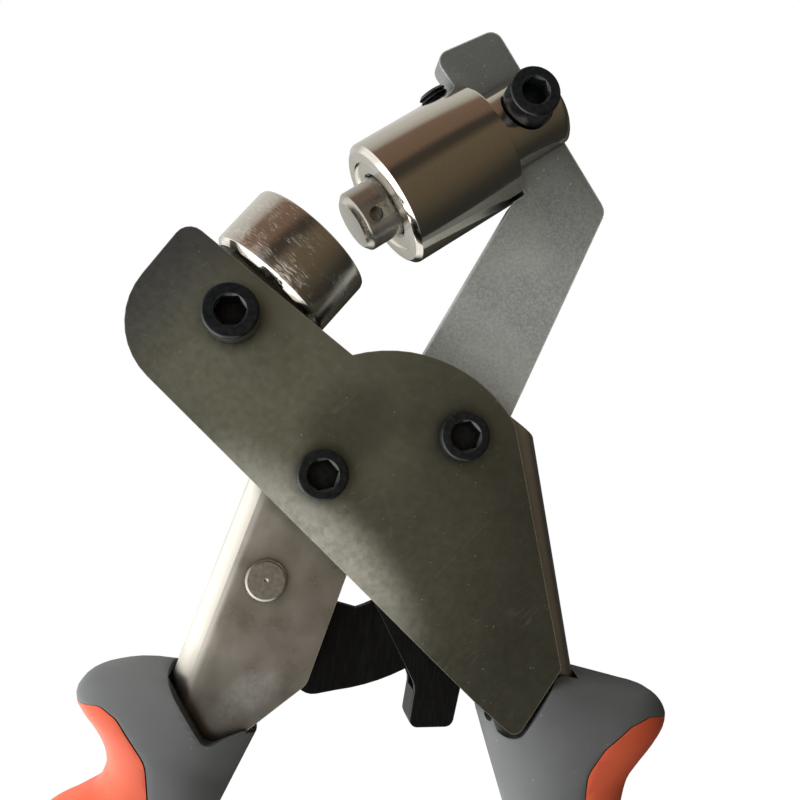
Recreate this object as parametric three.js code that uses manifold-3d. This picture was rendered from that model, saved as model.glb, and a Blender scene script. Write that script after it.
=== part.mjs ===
// Rivet setter: a plier-type hand press for leather rivets.
// Frame: millimetres, +Z up, front side plate facing -Y. The origin is on the punch arm's pivot axis,
// in the plane of the bolts' rear ends, which the tool lies on when it is put down on its back.
// At rest the tool is open: punch above right, anvil above left, handles below. Every piece is
// described about the tool's mid plane, and the whole tool then stands off the origin by REAR_PLANE.
import * as THREE from 'three';
import { mergeVertices } from 'three/addons/utils/BufferGeometryUtils.js';
import Module from 'manifold-3d';

const wasm = await Module();
wasm.setup();

// ---------- driving dimensions ----------
const PLATE_INNER = 6.5;          // |y| of the side plates' inner faces
const PLATE_THICKNESS = 3;
const PLATE_OUTER = PLATE_INNER + PLATE_THICKNESS;
const CHANNEL_HALF = 6.4;         // half the outer width of a handle channel
const SHEET = 1.5;                // channel and trigger sheet thickness
const CHANNEL_INNER = CHANNEL_HALF - SHEET;
const MOVING_BEND = 4.4;          // outer radius of the moving channel's bends
const FIXED_BEND = 2.6;
const ARM_HALF = 2.5;             // half the punch arm's thickness
const SOCKET_ACROSS = 5;          // hexagon sockets, across flats
const SECTOR_HALF = 1.25;         // half the ratchet sector's thickness
const FIT = 0.08;                 // radial clearance of a pin in its hole
const SEAT_GAP = 0.05;            // clearance between flat faces that press on each other
const GAP = 0.3;                  // clearance between seated pieces

const ARM_PIVOT = [0, 0];
const HANDLE_PIVOT = [-25.5, -7];
const PIVOT_RADIUS = 3;           // M6 pivot bolts
const NUT_END = 6;                // thread length past the rear plate
const REAR_PLANE = PLATE_OUTER + NUT_END;

const DIE_OFFSET = 45.8;          // from the arm pivot to the die axis
const PUNCH_ANGLE = 33.8;         // die axis above +X with the tool open
const ANVIL_ANGLE = 49.8;         // die axis above +X at the anvil, where the punch arrives
const ARM_TRAVEL = ANVIL_ANGLE - PUNCH_ANGLE;
const HANDLE_TRAVEL = 29;         // degrees the moving handle turns to close the tool
const ARM_RATIO = ARM_TRAVEL / HANDLE_TRAVEL;

const DRIVE_PIN = [-16, -15];     // the handle's drive pin, running in the arm's slot
const DRIVE_PIN_RADIUS = 2.5;
const SECTOR_RIVET = [-35, -25.5];
const SPRING_HOOK = [-31.3, -0.8];
const SPRING_ANCHOR = [-26.5, 13.5];
const HOOK_PIN_RADIUS = 1.5;

const SECTOR_INNER = 25.5;
const SECTOR_OUTER = 39.3;
const TOOTH_DEPTH = 1.1;
const TOOTH_STEP = 1.9;           // degrees
const TRIGGER_PIVOT = [11.5, -29];
const TRIGGER_PIN_RADIUS = 1.5;

const DIE_RADIUS = 13;            // punch holder sleeve and anvil holder
const SLEEVE_FRONT = 14.2;        // along the die axis from the pivot's foot point
const SLEEVE_BACK = 39.6;
const SHANK_RADIUS = 8.9;
const SHANK_END = 55.8;
const PUNCH_TIP = 7.2;
const PIN_END = 38;               // the punch pin's far end, inside the holder
const PUNCH_RADIUS = 6.2;
const CLAMP_ALONG = 48.2;         // punch holder's clamp screw
const CLAMP_ACROSS = 1;
const ANVIL_BOTTOM = -1.4;
const ANVIL_TOP = 12;
const ANVIL_SCREW_ALONG = -10.9;
const ANVIL_SCREW_ACROSS = -0.4;

const MOVING_LEAN = 20.2;         // degrees, channel direction left of straight down
const FIXED_LEAN = -8.7;          // degrees, channel direction right of straight down
const MOVING_WEB = -12;           // web's outer face in the moving handle's own frame
const FIXED_WEB = 15.1;

// ---------- materials ----------
function finish(color, roughness, metalness) {
  return new THREE.MeshStandardMaterial({ color, roughness, metalness });
}

const gunmetal = finish(0x4a4a40, 0.42, 0.9);
const armSteel = finish(0x7d7d7a, 0.4, 0.9);
const channelSteel = finish(0xb5b2aa, 0.3, 1);
const nickel = finish(0xb9aea3, 0.15, 1);
const blackOxide = finish(0x101011, 0.4, 0.6);
const blackSheet = finish(0x0c0c0d, 0.45, 0.5);
const zinc = finish(0xc0c0bd, 0.3, 1);
const springSteel = finish(0x8c8c8c, 0.3, 1);
const greyGrip = finish(0x6b6c6e, 0.8, 0);
const orangeGrip = finish(0xd1543a, 0.7, 0);

// ---------- plane geometry ----------
const radians = THREE.MathUtils.degToRad;

/** A point at a radius and an angle (degrees from +X towards +Z) about a centre. */
function polar(centre, radius, angle) {
  const a = radians(angle);
  return [centre[0] + radius * Math.cos(a), centre[1] + radius * Math.sin(a)];
}

/** A point of the XZ plane turned about a centre, positive from +X towards +Z. */
function turned(point, centre, angle) {
  const a = radians(angle);
  const [dx, dz] = [point[0] - centre[0], point[1] - centre[1]];
  return [
    centre[0] + dx * Math.cos(a) - dz * Math.sin(a),
    centre[1] + dx * Math.sin(a) + dz * Math.cos(a),
  ];
}

/** The row position of a point given along and across a die axis. */
function onDieAxis(angle, along, across = 0) {
  const foot = polar(ARM_PIVOT, DIE_OFFSET + across, angle + 90);
  return polar(foot, along, angle);
}

/** Arc points, ends included. */
function arcPoints(centre, radius, from, to, step = 12) {
  const count = Math.max(2, Math.ceil(Math.abs(to - from) / step));
  return Array.from({ length: count + 1 }, (_, i) => polar(centre, radius, from + ((to - from) * i) / count));
}

const LARGE_CORNER = 8;           // corners from this radius up get finer arcs

/** Rounds one corner of a polygon to a radius. */
function roundedCorner(before, corner, after, radius) {
  const c = new THREE.Vector2(...corner);
  const toBefore = new THREE.Vector2(...before).sub(c).normalize();
  const toAfter = new THREE.Vector2(...after).sub(c).normalize();
  const half = Math.acos(THREE.MathUtils.clamp(toBefore.dot(toAfter), -1, 1)) / 2;
  const centre = toBefore.clone().add(toAfter).normalize().multiplyScalar(radius / Math.sin(half)).add(c);
  const reach = radius / Math.tan(half);
  const start = toBefore.multiplyScalar(reach).add(c);
  const end = toAfter.multiplyScalar(reach).add(c);
  const angleOf = (p) => THREE.MathUtils.radToDeg(Math.atan2(p.y - centre.y, p.x - centre.x));
  const from = angleOf(start);
  const sweep = THREE.MathUtils.euclideanModulo(angleOf(end) - from + 180, 360) - 180;
  const step = radius < LARGE_CORNER ? 20 : 10;
  return arcPoints([centre.x, centre.y], radius, from, from + sweep, step);
}

/** A closed outline from corners [x, z, radius]; plain points have no radius. */
function outline(corners) {
  const points = [];
  corners.forEach(([x, z, radius], i) => {
    const before = corners[(i + corners.length - 1) % corners.length];
    const after = corners[(i + 1) % corners.length];
    if (radius) points.push(...roundedCorner(before.slice(0, 2), [x, z], after.slice(0, 2), radius));
    else points.push([x, z]);
  });
  return new THREE.Shape(points.map(([x, z]) => new THREE.Vector2(x, z)));
}

// ---------- solids ----------
/** Welds a three.js geometry and makes it a solid for joining and cutting. */
function solid(geometry) {
  const bare = geometry.index ? geometry.toNonIndexed() : geometry.clone();
  bare.deleteAttribute('normal');
  bare.deleteAttribute('uv');
  const welded = mergeVertices(bare, 1e-5);
  return new wasm.Manifold(new wasm.Mesh({
    numProp: 3,
    vertProperties: new Float32Array(welded.attributes.position.array),
    triVerts: new Uint32Array(welded.index.array),
  }));
}

const join = (first, ...rest) => rest.reduce((sum, piece) => sum.add(piece), first);
const cut = (first, ...rest) => rest.reduce((left, tool) => left.subtract(tool), first);

/** The geometry of a finished solid. */
function geometryOf(body) {
  const mesh = body.getMesh();
  const geometry = new THREE.BufferGeometry();
  geometry.setAttribute('position', new THREE.BufferAttribute(new Float32Array(mesh.vertProperties), 3));
  geometry.setIndex(new THREE.BufferAttribute(new Uint32Array(mesh.triVerts), 1));
  geometry.computeVertexNormals();
  return geometry;
}

/** A plate whose outline lies in the XZ plane, filling y from front to back. */
function plateGeometry(shape, front, back) {
  return new THREE.ExtrudeGeometry(shape, { depth: back - front, bevelEnabled: false, curveSegments: 6 })
    .rotateX(Math.PI / 2)
    .translate(0, back, 0);
}
const plate = (shape, front, back) => solid(plateGeometry(shape, front, back));

/** A round pin or hole along Y. */
function pin([x, z], radius, front, back, sides = 24) {
  return solid(new THREE.CylinderGeometry(radius, radius, back - front, sides)
    .translate(x, (front + back) / 2, z));
}

/** A body of revolution about +X, from [x, radius] pairs that start and end on the axis. */
function turnedOnX(profile, sides = 28) {
  const points = profile.map(([x, radius]) => new THREE.Vector2(radius, x));
  return solid(new THREE.LatheGeometry(points, sides).rotateZ(-Math.PI / 2));
}

/** A socket head screw along Y: its head's underside at y = 0, its shank towards +Y. */
function socketScrew({ headRadius, headHeight, socketAcross, shankRadius, length }) {
  const chamfer = 0.6;
  const socketRadius = socketAcross / 2 / Math.cos(Math.PI / 6);
  const socketDepth = headHeight * 0.6;
  const body = turnedOnX([
    [-headHeight, 0],
    [-headHeight, headRadius - chamfer],
    [-headHeight + chamfer, headRadius],
    [0, headRadius],
    [0, shankRadius],
    [length - chamfer, shankRadius],
    [length, shankRadius - chamfer],
    [length, 0],
  ], 20);
  const socket = solid(new THREE.CylinderGeometry(socketRadius, socketRadius, socketDepth * 2, 6)
    .rotateZ(Math.PI / 2)
    .translate(-headHeight, 0, 0));
  return geometryOf(cut(body, socket)).rotateZ(Math.PI / 2);
}

/** A hexagon nut along Y from y = 0, with a plain hole. */
function hexNut({ across, height, holeRadius }) {
  const radius = across / 2 / Math.cos(Math.PI / 6);
  const hexagon = solid(new THREE.CylinderGeometry(radius, radius, height, 6).translate(0, height / 2, 0));
  return geometryOf(cut(hexagon, pin([0, 0], holeRadius, -1, height + 1)));
}

/** A plain ring or washer along Y. */
function ring(centre, outer, inner, front, back) {
  return cut(pin(centre, outer, front, back), pin(centre, inner, front - 1, back + 1));
}

// ---------- scene graph ----------
const tool = new THREE.Group();
tool.position.y = -REAR_PLANE;

/** A nested frame on the XZ plane: at a point, leaning by an angle from +X towards +Z. */
function frameAt([x, z], angle) {
  const group = new THREE.Group();
  group.position.set(x, 0, z);
  group.rotation.y = -radians(angle);
  group.updateMatrix();
  tool.add(group);
  return group;
}

const punchFrame = frameAt(onDieAxis(PUNCH_ANGLE, 0), PUNCH_ANGLE);
const anvilFrame = frameAt(onDieAxis(ANVIL_ANGLE, 0), ANVIL_ANGLE);
const movingFrame = frameAt(HANDLE_PIVOT, -MOVING_LEAN);
const fixedFrame = frameAt(ARM_PIVOT, -FIXED_LEAN);

/** Adds one named piece. Its shape is a solid or a ready geometry in the parent's frame. */
function addPiece(parent, name, shape, material, place = [0, 0, 0]) {
  const geometry = shape.isBufferGeometry ? shape : geometryOf(shape);
  const mesh = new THREE.Mesh(geometry, material);
  mesh.name = name;
  mesh.position.set(...place);
  parent.add(mesh);
  return mesh;
}

/** A point of the tool's XZ plane in a nested frame. */
function inFrame(frame, [x, z]) {
  const local = new THREE.Vector3(x, 0, z).applyMatrix4(frame.matrix.clone().invert());
  return [local.x, local.z];
}

// ---------- side plates ----------
const SHOULDER = [-12.9, -10.8];  // centre of the plates' round shoulder over the arm
const SHOULDER_RADIUS = 26.5;

function sidePlateOutline() {
  const shoulder = arcPoints(SHOULDER, SHOULDER_RADIUS, 30, 106, 6);
  return outline([
    [18.1, -42, 1],
    [10.4, 0.8, 1.5],
    ...shoulder,
    [-49.9, 38.5, 3],
    [-64.5, 18.5, 14],
    [2.1, -47.3, 4],
    [9.4, -53.8, 1.8],
  ]);
}

/** The two plates, each drilled for both pivots and the anvil's clamp screw. */
function addSidePlates() {
  const holes = [ARM_PIVOT, HANDLE_PIVOT, onDieAxis(ANVIL_ANGLE, ANVIL_SCREW_ALONG, ANVIL_SCREW_ACROSS)];
  const drills = holes.map((at) => pin(at, PIVOT_RADIUS + FIT, -PLATE_OUTER - 1, PLATE_OUTER + 1));
  const front = cut(plate(sidePlateOutline(), -PLATE_OUTER, -PLATE_INNER), ...drills);
  const rear = cut(plate(sidePlateOutline(), PLATE_INNER, PLATE_OUTER), ...drills);
  addPiece(tool, 'front_side_plate', front, gunmetal);
  addPiece(tool, 'rear_side_plate', rear, gunmetal);
}

// ---------- pivots ----------
const PIVOT_HEAD = {
  headRadius: 4.55,
  headHeight: 3,
  socketAcross: SOCKET_ACROSS,
  shankRadius: PIVOT_RADIUS,
};
const NUT = { across: 10, height: 5, holeRadius: PIVOT_RADIUS + FIT };

function addPivot(name, [x, z]) {
  const bolt = socketScrew({ ...PIVOT_HEAD, length: 2 * PLATE_OUTER + NUT_END });
  addPiece(tool, `${name}_pivot_bolt`, bolt, blackOxide, [x, -PLATE_OUTER, z]);
  addPiece(tool, `${name}_pivot_nut`, hexNut(NUT), zinc, [x, PLATE_OUTER, z]);
}

function addPivots() {
  addPivot('arm', ARM_PIVOT);
  addPivot('handle', HANDLE_PIVOT);
  const bushEnd = CHANNEL_INNER - SEAT_GAP;
  const bushRadius = 4;
  addPiece(tool, 'handle_pivot_bush',
    ring(HANDLE_PIVOT, bushRadius, PIVOT_RADIUS + FIT, -bushEnd, bushEnd), zinc);
  const spacerInner = ARM_HALF + SEAT_GAP;
  const spacerRadius = 7;
  addPiece(tool, 'arm_spacer_front',
    ring(ARM_PIVOT, spacerRadius, PIVOT_RADIUS + FIT, -bushEnd, -spacerInner), zinc);
  addPiece(tool, 'arm_spacer_rear',
    ring(ARM_PIVOT, spacerRadius, PIVOT_RADIUS + FIT, spacerInner, bushEnd), zinc);
}

// ---------- punch arm ----------
/** The drive pin's path as the arm sees it, while the handle closes. */
function drivePath(steps = 10) {
  return Array.from({ length: steps + 1 }, (_, i) => {
    const handleAngle = (HANDLE_TRAVEL * i) / steps;
    const pinNow = turned(DRIVE_PIN, HANDLE_PIVOT, handleAngle);
    return turned(pinNow, ARM_PIVOT, -handleAngle * ARM_RATIO);
  });
}

/** The cam slot: every place the pin takes, swept as overlapping round holes and links. */
function driveSlot() {
  const slack = 0.12;
  const radius = DRIVE_PIN_RADIUS + slack;
  const path = drivePath();
  const depth = ARM_HALF + 1;
  const links = path.slice(1).map((end, i) => {
    const start = path[i];
    const heading = THREE.MathUtils.radToDeg(Math.atan2(end[1] - start[1], end[0] - start[0]));
    const link = outline([
      polar(start, radius, heading + 90),
      polar(start, radius, heading - 90),
      polar(end, radius, heading - 90),
      polar(end, radius, heading + 90),
    ]);
    return plate(link, -depth, depth);
  });
  const rounds = path.map((at) => pin(at, radius, -depth, depth));
  return join(...links, ...rounds);
}

function addPunchArm() {
  const headEdge = SLEEVE_BACK + GAP + 0.1;
  const upper = outline([
    [9.5, 84.2, 2.5],
    [32.2, 46.8, 3],
    [8.5, -1.5],
    [-12, -3],
    [-21.1, -6.6, 2],
    [-8, 12.4],
    [12.7, 47.7, 1],
    [...onDieAxis(PUNCH_ANGLE, headEdge, -13.2), 0.4],
    [...onDieAxis(PUNCH_ANGLE, headEdge, 20.3), 2.5],
  ]);
  const tail = outline([
    [-4, 6],
    [-21.1, -5, 1],
    [-21.1, -20.2, 4.9],
    [-10.8, -20.2, 4.9],
    [-4, -8],
  ]);
  const hubRadius = 10;
  const blank = join(
    plate(upper, -ARM_HALF, ARM_HALF),
    plate(tail, -ARM_HALF, ARM_HALF),
    pin(ARM_PIVOT, hubRadius, -ARM_HALF, ARM_HALF),
  );
  const through = ARM_HALF + 1;
  const arm = cut(
    blank,
    driveSlot(),
    pin(ARM_PIVOT, PIVOT_RADIUS + FIT, -through, through),
    pin(onDieAxis(PUNCH_ANGLE, CLAMP_ALONG, CLAMP_ACROSS), PIVOT_RADIUS + GAP, -through, through),
  );
  addPiece(tool, 'punch_arm_plate', arm, armSteel);
}

// ---------- punch ----------
const CLAMP_HEAD = { headRadius: 5, headHeight: 6, socketAcross: SOCKET_ACROSS, shankRadius: 2.95 };
const CLAMP_SEAT = 7.4;            // |y| of the flats that the clamp screw and nut seat on
const SET_SCREW_ALONG = 35.4;
const SET_SCREW_LEAN = 8;         // degrees towards the front
const SET_SCREW_RADIUS = 2.9;
const SET_SCREW_OUT = 1.6;        // how far it stands out of the sleeve
const SET_SCREW_SOCKET = 3;       // across flats

/** A cylinder standing on the punch axis, leaning to the front by the set screw's angle. */
function setScrewBore(radius, from, to, sides = 16) {
  return solid(new THREE.CylinderGeometry(radius, radius, to - from, sides)
    .translate(0, (from + to) / 2, 0)
    .rotateX(radians(90 + SET_SCREW_LEAN))
    .translate(SET_SCREW_ALONG, 0, 0));
}

function addPunchHolder() {
  const bore = PUNCH_RADIUS + GAP;
  const boreEnd = PIN_END + GAP;
  const stepRadius = 9.4;
  const body = turnedOnX([
    [boreEnd, 0],
    [boreEnd, bore],
    [SLEEVE_FRONT + 0.5, bore],
    [SLEEVE_FRONT + 0.5, stepRadius],
    [SLEEVE_FRONT, stepRadius + 0.5],
    [SLEEVE_FRONT, DIE_RADIUS - 1],
    [SLEEVE_FRONT + 1, DIE_RADIUS],
    [SLEEVE_BACK - 0.6, DIE_RADIUS],
    [SLEEVE_BACK, DIE_RADIUS - 0.6],
    [SLEEVE_BACK, SHANK_RADIUS],
    [SHANK_END - 2.4, SHANK_RADIUS],
    [SHANK_END - 0.7, SHANK_RADIUS - 0.7],
    [SHANK_END, SHANK_RADIUS - 2.4],
    [SHANK_END, 0],
  ], 32);
  const slotHalf = ARM_HALF + GAP;
  const slot = plate(outline([
    [SLEEVE_BACK, -SHANK_RADIUS - 1],
    [SHANK_END + 1, -SHANK_RADIUS - 1],
    [SHANK_END + 1, SHANK_RADIUS + 1],
    [SLEEVE_BACK, SHANK_RADIUS + 1],
  ]), -slotHalf, slotHalf);
  const clampAt = [CLAMP_ALONG, CLAMP_ACROSS];
  const seatRadius = CLAMP_HEAD.headRadius + 0.4;
  const holder = cut(
    body,
    slot,
    pin(clampAt, CLAMP_HEAD.shankRadius + FIT, -DIE_RADIUS, DIE_RADIUS),
    pin(clampAt, seatRadius, -DIE_RADIUS, -CLAMP_SEAT),
    pin(clampAt, seatRadius + 0.6, CLAMP_SEAT, DIE_RADIUS),
    setScrewBore(SET_SCREW_RADIUS + FIT, 0, DIE_RADIUS + 3),
  );
  addPiece(punchFrame, 'punch_holder', holder, nickel);
}

function addPunchPin() {
  const chamfer = 1.1;
  const body = turnedOnX([
    [PUNCH_TIP, 0],
    [PUNCH_TIP, PUNCH_RADIUS - chamfer],
    [PUNCH_TIP + chamfer, PUNCH_RADIUS],
    [PIN_END - chamfer, PUNCH_RADIUS],
    [PIN_END, PUNCH_RADIUS - chamfer],
    [PIN_END, 0],
  ]);
  const crossHole = pin([PUNCH_TIP + 3.6, -1.8], 1.4, -PUNCH_RADIUS - 1, PUNCH_RADIUS + 1, 12);
  addPiece(punchFrame, 'punch_pin', cut(body, crossHole), nickel);
}

function addPunchFasteners() {
  const pastSeat = 5;
  const screw = socketScrew({ ...CLAMP_HEAD, length: 2 * CLAMP_SEAT + pastSeat });
  addPiece(punchFrame, 'punch_clamp_screw', screw, blackOxide,
    [CLAMP_ALONG, -CLAMP_SEAT - SEAT_GAP, CLAMP_ACROSS]);
  addPiece(punchFrame, 'punch_clamp_nut', hexNut({ ...NUT, height: 4 }), zinc,
    [CLAMP_ALONG, CLAMP_SEAT + SEAT_GAP, CLAMP_ACROSS]);
  const outerEnd = DIE_RADIUS + SET_SCREW_OUT;
  const grub = setScrewBore(SET_SCREW_RADIUS, PUNCH_RADIUS + 0.1, outerEnd);
  const socketRadius = SET_SCREW_SOCKET / 2 / Math.cos(Math.PI / 6);
  const socket = setScrewBore(socketRadius, outerEnd - 3, outerEnd + 1, 6);
  addPiece(punchFrame, 'punch_set_screw', cut(grub, socket), blackOxide);
}

// ---------- anvil ----------
function addAnvil() {
  const recess = 8;
  const recessFloor = 3.4;
  const body = turnedOnX([
    [ANVIL_BOTTOM, 0],
    [ANVIL_BOTTOM, DIE_RADIUS - 1],
    [ANVIL_BOTTOM + 1, DIE_RADIUS],
    [ANVIL_TOP - 0.8, DIE_RADIUS],
    [ANVIL_TOP, DIE_RADIUS - 0.8],
    [ANVIL_TOP, recess + 0.6],
    [ANVIL_TOP - 0.6, recess],
    [recessFloor, recess],
    [recessFloor, 0],
  ], 32);
  const tangHalf = PLATE_INNER - GAP;
  const tangWidth = 8;
  const tang = plate(outline([
    [ANVIL_BOTTOM + 1, -tangWidth],
    [ANVIL_BOTTOM + 1, tangWidth],
    ...arcPoints([ANVIL_SCREW_ALONG, 0], tangWidth, 90, 270),
  ]), -tangHalf, tangHalf);
  const screwAt = [ANVIL_SCREW_ALONG, ANVIL_SCREW_ACROSS];
  const holder = cut(join(body, tang), pin(screwAt, PIVOT_RADIUS + FIT, -PLATE_OUTER, PLATE_OUTER));
  addPiece(anvilFrame, 'anvil_holder', holder, nickel);

  const dieFloor = recessFloor + GAP;
  const dieTop = 6.2;
  const cup = [[dieTop, 4.2], [dieTop - 0.9, 2.2], [dieTop - 1.2, 0]];
  const die = turnedOnX([
    [dieFloor, 0],
    [dieFloor, recess - GAP],
    [dieTop - 0.4, recess - GAP],
    [dieTop, recess - GAP - 0.4],
    ...cup,
  ]);
  addPiece(anvilFrame, 'anvil_die', die, armSteel);

  const screw = socketScrew({ ...CLAMP_HEAD, length: 2 * PLATE_OUTER + NUT_END });
  addPiece(anvilFrame, 'anvil_clamp_screw', screw, blackOxide,
    [ANVIL_SCREW_ALONG, -PLATE_OUTER, ANVIL_SCREW_ACROSS]);
  addPiece(anvilFrame, 'anvil_clamp_nut', hexNut(NUT), zinc,
    [ANVIL_SCREW_ALONG, PLATE_OUTER, ANVIL_SCREW_ACROSS]);
}

// ---------- handle channels ----------
// The bent blank reaches past the outline that trims it at both ends.
const CHANNEL_TOP = 14;
const CHANNEL_BOTTOM = -84;

/** A U section of bent sheet running down -Z, its web's outer face at x = web. */
function channelSection(web, freeSide, bendRadius) {
  const inward = Math.sign(freeSide - web);
  const inner = web + inward * SHEET;
  const insideRadius = bendRadius - SHEET;
  const section = outline([
    [freeSide, -CHANNEL_HALF],
    [web, -CHANNEL_HALF, bendRadius],
    [web, CHANNEL_HALF, bendRadius],
    [freeSide, CHANNEL_HALF],
    [freeSide, CHANNEL_INNER],
    [inner, CHANNEL_INNER, insideRadius],
    [inner, -CHANNEL_INNER, insideRadius],
    [freeSide, -CHANNEL_INNER],
  ]);
  const length = CHANNEL_TOP - CHANNEL_BOTTOM;
  return solid(new THREE.ExtrudeGeometry(section, { depth: length, bevelEnabled: false })
    .translate(0, 0, CHANNEL_BOTTOM));
}

function movingChannelCorners() {
  const [pinX, pinZ] = inFrame(movingFrame, DRIVE_PIN);
  const lobe = 4.2;
  return [
    [MOVING_WEB, 7, 4],
    [MOVING_WEB, -82],
    [-4.5, -82, 1],
    [2.9, -46.7, 2],
    [10.65, -35.2, 2.5],
    [10.65, pinZ - 8, 2],
    ...arcPoints([pinX, pinZ], lobe, -60, 60),
    [5, 8, 6],
  ];
}

function fixedChannelCorners() {
  const lobe = 9.5;
  return [
    ...arcPoints([0, 0], lobe, 190, 40),
    [FIXED_WEB, -2, 0.8],
    [FIXED_WEB, -82],
    [8, -82, 1],
    [3.2, -50, 2],
    [-3.75, -38, 2],
    [-3.75, -15, 4],
  ];
}

/** Where the blank sheet's free edges lie before the outline trims them. */
const BLANK_MOVING = 20;
const BLANK_FIXED = -20;

function addMovingChannel() {
  const section = channelSection(MOVING_WEB, BLANK_MOVING, MOVING_BEND);
  const side = plate(outline(movingChannelCorners()), -CHANNEL_HALF, CHANNEL_HALF);
  const holes = [
    [HANDLE_PIVOT, PIVOT_RADIUS],
    [DRIVE_PIN, DRIVE_PIN_RADIUS],
    [SECTOR_RIVET, RIVET_SHANK],
    [SPRING_HOOK, HOOK_PIN_RADIUS],
  ].map(([at, radius]) => pin(inFrame(movingFrame, at), radius + FIT, -PLATE_INNER, PLATE_INNER));
  addPiece(movingFrame, 'moving_handle_channel', cut(section.intersect(side), ...holes), channelSteel);
}

function addFixedChannel() {
  const section = channelSection(FIXED_WEB, BLANK_FIXED, FIXED_BEND);
  const side = plate(outline(fixedChannelCorners()), -CHANNEL_HALF, CHANNEL_HALF);
  const holes = [
    [ARM_PIVOT, PIVOT_RADIUS],
    [TRIGGER_PIVOT, TRIGGER_PIN_RADIUS],
  ].map(([at, radius]) => pin(inFrame(fixedFrame, at), radius + FIT, -PLATE_INNER, PLATE_INNER));
  addPiece(fixedFrame, 'fixed_handle_channel', cut(section.intersect(side), ...holes), channelSteel);
}

// ---------- grips ----------
// Each grip has its own frame: local -Z runs down the grip, w is the way out from the tool's middle,
// and the guard that stops the hand stands out at z = 0. Curves are [distance down, value] pairs.
const GRIP_LENGTH = 106;
const GRIP_REACH = 20;            // |y| that is outside either grip
const OUTER_LOWER = [[38, 13.2], [60, 12.6], [82, 11.4], [98, 11], [103.5, 8.5], [GRIP_LENGTH, 3]];
const INNER_LOWER = [[30, -15.6], [55, -13], [80, -12], [97, -11.5], [103.5, -9], [GRIP_LENGTH, -3.5]];
const MOVING_OUTER = [
  [-10.7, 1], [-9.3, 5.7], [-8.4, 8.1], [-6.6, 11.1], [-4.7, 13.4], [-2.7, 14.7], [-0.9, 15], [0.4, 14.5],
  [1.3, 13.3], [2.4, 10.8], [3.9, 8.1], [5.7, 5.9], [8.2, 4.3], [11, 4], [15.1, 6.4], [19, 9.5], [25, 12],
  ...OUTER_LOWER,
];
const FIXED_OUTER = [
  [-13.6, -1], [-10, 4.9], [-6.6, 10.5], [-4.5, 13.8], [-2, 15.5], [-0.4, 15.8], [1.4, 15], [3.5, 12.4],
  [5.6, 8.7], [7.6, 5.5], [11, 2.9], [14.3, 1.2], [17.5, 1.6], [21, 4.6], [26, 8.9], [31, 11.7],
  ...OUTER_LOWER,
];
const MOVING_INNER = [[-10.7, -16], [-8, -16.6], [12, -16.6], ...INNER_LOWER];
const FIXED_INNER = [[-13.6, -18.2], [-10, -19.2], [7, -19], ...INNER_LOWER];
const HALF_THICKNESS = [
  [-13.6, 8.8], [-9, 10.4], [-2, 11], [11, 10.2], [25, 11], [55, 11.6], [85, 11], [98, 10], [103.5, 7.5],
  [GRIP_LENGTH, 3],
];

/** Linear reading of a [distance, value] curve. */
function valueAt(curve, s) {
  const last = curve.length - 1;
  if (s <= curve[0][0]) return curve[0][1];
  for (let i = 1; i <= last; i += 1) {
    const [s0, v0] = curve[i - 1];
    const [s1, v1] = curve[i];
    if (s <= s1) return v0 + ((v1 - v0) * (s - s0)) / (s1 - s0);
  }
  return curve[last][1];
}

/** A grip's skin, lofted through rounded sections and moved inwards by an inset. */
function gripLoft({ side, outerSide, innerSide }, inset) {
  const around = 16;
  const roundness = 0.82;
  const thinnest = 0.6;
  const stations = outerSide.map(([s]) => s);
  const positions = [];
  for (const s of stations) {
    const top = s === stations[0] ? inset : 0;
    const end = s === GRIP_LENGTH ? inset : 0;
    const outer = valueAt(outerSide, s) - inset;
    const inner = valueAt(innerSide, s) + inset;
    const thick = Math.max(valueAt(HALF_THICKNESS, s) - inset, thinnest);
    const half = Math.max((outer - inner) / 2, thinnest);
    for (let i = 0; i < around; i += 1) {
      const a = (2 * Math.PI * i) / around;
      const [c, d] = [Math.cos(a), Math.sin(a)];
      const x = (outer + inner) / 2 + half * Math.sign(c) * Math.abs(c) ** roundness;
      positions.push(side * x, thick * Math.sign(d) * Math.abs(d) ** roundness, -(s + top - end));
    }
  }
  const rings = stations.length;
  const index = [];
  const face = (a, b, c) => (side > 0 ? index.push(a, b, c) : index.push(a, c, b));
  for (let r = 0; r < rings - 1; r += 1) {
    for (let i = 0; i < around; i += 1) {
      const [a, b] = [r * around + i, r * around + ((i + 1) % around)];
      face(a, a + around, b);
      face(b, a + around, b + around);
    }
  }
  for (let i = 1; i < around - 1; i += 1) {
    face(0, i, i + 1);
    const base = (rings - 1) * around;
    face(base, base + i + 1, base + i);
  }
  const geometry = new THREE.BufferGeometry();
  geometry.setAttribute('position', new THREE.BufferAttribute(new Float32Array(positions), 3));
  geometry.setIndex(index);
  return geometry;
}

// The coloured inlays' outlines as [out, down, corner radius] about each grip's own frame.
const MOVING_INLAY = [
  [30, 2.4, 0], [15, 1.4, 1], [9.5, -1.6, 3], [6, -1.2, 4], [-1.6, 3, 6], [-5.8, 9.5, 8], [-6.5, 60, 30],
  [1, 90, 20], [30, 98, 0],
];
const FIXED_INLAY = [
  [30, 1.6, 0], [16, 0.8, 1], [10, -2, 3], [5.6, -2, 3], [-0.5, 0, 5], [-4.8, 3.2, 5], [-7.3, 9.5, 8],
  [-7.6, 60, 30], [0, 90, 20], [30, 98, 0],
];

/** An inlay's outline on the grip's side, grown by an allowance. */
function inlayOutline({ side, inlay }, grow) {
  const middle = 50;
  return outline(inlay.map(([w, s, radius]) => {
    const down = s < middle ? s - grow : s + grow;
    return [side * (w - grow), -down, radius];
  }));
}

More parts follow.
